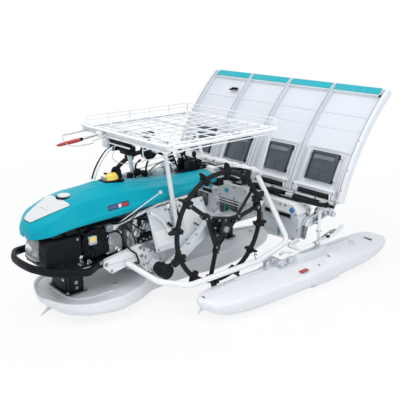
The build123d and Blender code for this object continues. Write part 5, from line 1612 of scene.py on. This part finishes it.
parts = [
    "blackPlastic", box(-150, 150, 790, 868, 672, 706, 8), box(-146, 146, 806, 868, 700, 730, 10),
    "greyPaint", box(-132, 132, 800, 862, 726, 733, 3)]
for k, x in enumerate((-104, -52, 0, 52, 104)):
    parts += [
        "blackPaint", box(x - 5, x + 5, 812, 852, 732, 734.5, 0.8),
        "steel", pipe([(x, 832, 728), (x, 836 + 4 * (k % 2), 741)], 4, sides=10),
        "red" if k == 2 else "blackPlastic", turned([(4, -4), (8, -3), (9, 0), (8, 2.4), (3, 3)],
        (x, 837 + 4 * (k % 2), 741), "z", 18)]
half = ["blackPlastic", box(132, 148, 792, 812, 664, 676, 3), "wornSteel", bolt((140, 790, 690), "y", 5, -1)]
parts += mirrored(half) + half
build("controlPanel", parts, "control_panel")

parts = ["whitePaint", pipe([(-420, 546, 755), (420, 546, 755)], 13, sides=24)]
half = [
    "whitePaint", pipe([(185, 546, 755), (185, 790, 663.5)], 8, sides=16),
    turned(even((13.4, 10), (17, 8)), (185, 546, 755), "x"),
    "blackPlastic", turned(even((13.4, 5), (16, 4)), (414, 546, 755), "x"),
    "blackPaint", turned(even((8.4, 8), (11, 7)), (185, 780, 667), "y", 16),
    "rubber", pipe([(185, 560, 740), (120, 610, 640), (60, 620, 420), (24, 560, 270)], 4, 60, 8)]
for x in (60, 300):
    half += ["steel", turned(even((13.3, 4), (14.6, 3)), (x, 546, 755), "x", 20)]
parts += mirrored(half) + half
build("traySupport", parts, "tray_support")

# shift levers, brackets and wiring behind the hood, and castings on the cross bar
leverX = -78
parts = [
    "blackPaint", box(leverX - 46, leverX + 22, -120, 40, 506, 514, 2.5),
    box(leverX - 30, leverX - 20, -110, -10, 510, 566, 3), box(leverX + 12, leverX + 20, -100, -10, 510, 560,
    3), box(leverX - 20, leverX + 14, -40, -4, 250, 508, 6)]
for x, y, z, lean in ((-36, -118, 640, -30), (-18, -82, 618, 14), (6, -56, 600, -12), (20, -20, 590, 16)):
    parts += [
        "blackPaint", pipe([(leverX + x, y + 20, 512), (leverX + x + lean * 0.4, y, (z + 512) / 2),
        (leverX + x + lean, y - 30, z)], 5, 20, 10),
        "blackPlastic", turned([(4, -16), (10, -10), (12, 4), (9, 14), (3, 17)],
        (leverX + x + lean, y - 32, z + 8), "z", 16)]
for x, y, z in ((-30, -90, 560), (-8, -60, 548), (14, -60, 550), (-20, -20, 540), (10, 0, 546)):
    parts += [
        "blackPlastic", turned(even((6, 10), (14, 8), (16, 0)), (leverX + x, y, z), "x", 14),
        "rubber", pipe([(leverX + x, y, z), (leverX + x + 30, y + 60, z - 14),
        (leverX + x + 22, y + 130, z - 50)], 4, 20, 8)]
# the carrier right behind the hood: a pale casting over a dark one
parts += [
    "cast", box(-36, 84, 2, 58, 486, 516, 6), "whitePaint", box(-22, 30, 10, 44, 512, 532, 5),
    "darkCast", box(40, 72, 12, 50, 512, 526, 4), "blackPaint", box(-30, 76, 6, 52, 440, 490, 8),
    pipe([(60, 30, 524), (96, 44, 534), (128, 100, 530), (140, 150, 520)], 6, 30, 10),
    "whitePaint", pipe([(20, 40, 526), (60, 80, 540), (120, 110, 534), (176, 156, 528)], 4, 30, 8),
    "blackPaint", box(104, 150, 70, 128, 502, 522, 4),
    "rubber", pipe([(-100, 10, 514), (-90, 70, 500), (-60, 160, 470), (-40, 250, 400)], 6, 50, 10),
    pipe([(60, 40, 500), (90, 80, 500), (80, 160, 488), (60, 260, 400)], 5, 50, 10),
    "whitePaint", pipe([(30, 50, 510), (50, 90, 516), (30, 170, 500), (20, 280, 404)], 4, 50, 10)]
for x in (-20, 66):
    parts += ["wornSteel", bolt((x, 20, 516), "z")]
half = []
for x in (40, 110, 176):
    half += [
        "whitePaint", turned(even((14, 12), (18, 10)), (x, 163, 520), "x"),
        box(x - 8, x + 8, 150, 176, 480, 512, 3), "wornSteel", bolt((x, 145, 520), "y", 6, -1)]
half += [
    "cast", box(72, 120, 176, 192, 486, 530, 5),
    "whitePaint", pipe([(60, 176, 496), (56, 240, 430), (54, 300, 404)], 6, 30),
    "cast", box(180, 196, 148, 178, 486, 512, 4)]
parts += mirrored(half) + half
build("rearControls", parts, crease=36)
print("handles and controls")

# Plain finishes for the frame's own nodes that keep their shape

keptNodes = {
    "whitePaint": ("side_guard_left", "side_guard_right", "cross_bar", "hood_rails", "rack_posts",
    "handlebar"), "rubber": ("hose",), "panelWhite": ("row_marker",)}
for finishName, nodeNames in keptNodes.items():
    for nodeName in nodeNames:
        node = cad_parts[nodeName]
        node.data.materials.clear()
        node.data.materials.append(finishOfPiece[finishName])

# Camera, floor and light

view = {"place": (2.420, -2.152, 1.355), "tilt": 72.8, "turn": 49, "lens": 58.3, "sensor": 36}
scene = bpy.context.scene
camera = bpy.data.objects.new("camera", bpy.data.cameras.new("camera"))
camera.data.lens, camera.data.sensor_width = view["lens"], view["sensor"]
camera.location = view["place"]
camera.rotation_euler = (math.radians(view["tilt"]), 0, math.radians(view["turn"]))
scene.collection.objects.link(camera)
scene.camera = camera
scene.view_settings.view_transform = "Standard"


# Floor and world show white to the camera, in reflections and through glass; the floor keeps the shadow.
def seenAsWhite(nodes, links):
    rays, share = nodes.new("ShaderNodeLightPath"), None
    for kind in ("Is Camera Ray", "Is Glossy Ray", "Is Transmission Ray"):
        if share is None:
            share = rays.outputs[kind]
            continue
        either = nodes.new("ShaderNodeMath")
        either.operation = "MAXIMUM"
        links.new(share, either.inputs[0])
        links.new(rays.outputs[kind], either.inputs[1])
        share = either.outputs[0]
    return share


def mixed(nodes, links, share, under, over, output):
    mix = nodes.new("ShaderNodeMixShader")
    links.new(share, mix.inputs["Fac"])
    links.new(under.outputs[0], mix.inputs[1])
    links.new(over.outputs[0], mix.inputs[2])
    links.new(mix.outputs[0], output.inputs["Surface"])


# The floor turns to plain white between two distances from the machine.
ground = {"half": 40, "colour": (0.86, 0.87, 0.88, 1), "fadeFrom": 1.2, "fadeTo": 3.2, "whiteNear": 0.84}
w = ground["half"]
floorMesh = bpy.data.meshes.new("floor")
floorMesh.from_pydata([(-w, -w, 0), (w, -w, 0), (w, w, 0), (-w, w, 0)], [], [(0, 1, 2, 3)])
floor = bpy.data.objects.new("floor", floorMesh)
scene.collection.objects.link(floor)
pale = bpy.data.materials.new("paleFloor")
pale.use_nodes = True
nodes, links = pale.node_tree.nodes, pale.node_tree.links
nodes.clear()
matt, glow = nodes.new("ShaderNodeBsdfDiffuse"), nodes.new("ShaderNodeEmission")
put(matt, Color=ground["colour"])
put(glow, Strength=1.0)
place, reach = nodes.new("ShaderNodeTexCoord"), nodes.new("ShaderNodeVectorMath")
fade = nodes.new("ShaderNodeMapRange")
reach.operation = "LENGTH"
put(fade, From_Min=ground["fadeFrom"], From_Max=ground["fadeTo"], To_Min=ground["whiteNear"], To_Max=1.0)
links.new(place.outputs["Object"], reach.inputs[0])
links.new(reach.outputs["Value"], fade.inputs["Value"])
share = nodes.new("ShaderNodeMath")
share.operation = "MULTIPLY"
links.new(seenAsWhite(nodes, links), share.inputs[0])
links.new(fade.outputs["Result"], share.inputs[1])
mixed(nodes, links, share.outputs[0], matt, glow, nodes.new("ShaderNodeOutputMaterial"))
floorMesh.materials.append(pale)

world = bpy.data.worlds.new("studio")
scene.world = world
world.use_nodes = True
nodes, links = world.node_tree.nodes, world.node_tree.links
nodes.clear()
soft, white = nodes.new("ShaderNodeBackground"), nodes.new("ShaderNodeBackground")
put(soft, Color=(0.93, 0.96, 1.0, 1), Strength=0.86)
put(white, Color=(1, 1, 1, 1), Strength=1.0)
mixed(nodes, links, seenAsWhite(nodes, links), soft, white, nodes.new("ShaderNodeOutputWorld"))

# Soft lamps: name, place, aimed at, size, watts, colour
lamps = [
    ("keyLamp", (0.6, -1.6, 3.4), (0, -0.1, 0.3), 2.6, 44, (1.0, 0.99, 0.97)),
    ("sideLamp", (3.2, -0.6, 1.5), (0, 0, 0.4), 2.0, 11, (0.95, 0.98, 1.0)),
    ("backLamp", (-1.6, 2.6, 2.4), (0, 0, 0.4), 2.2, 15, (0.97, 0.99, 1.0))]
for name, place, target, size, watts, colour in lamps:
    lamp = bpy.data.lights.new(name, "AREA")
    lamp.shape, lamp.size, lamp.energy, lamp.color = "DISK", size, watts, colour
    holder = bpy.data.objects.new(name, lamp)
    holder.location = place
    aim = np.array(target) - np.array(place)
    holder.rotation_euler = (math.atan2(np.hypot(aim[0], aim[1]), -aim[2]), 0,
        math.atan2(aim[1], aim[0]) - math.pi / 2)
    scene.collection.objects.link(holder)
print("camera and light")

bpy.context.view_layer.update()
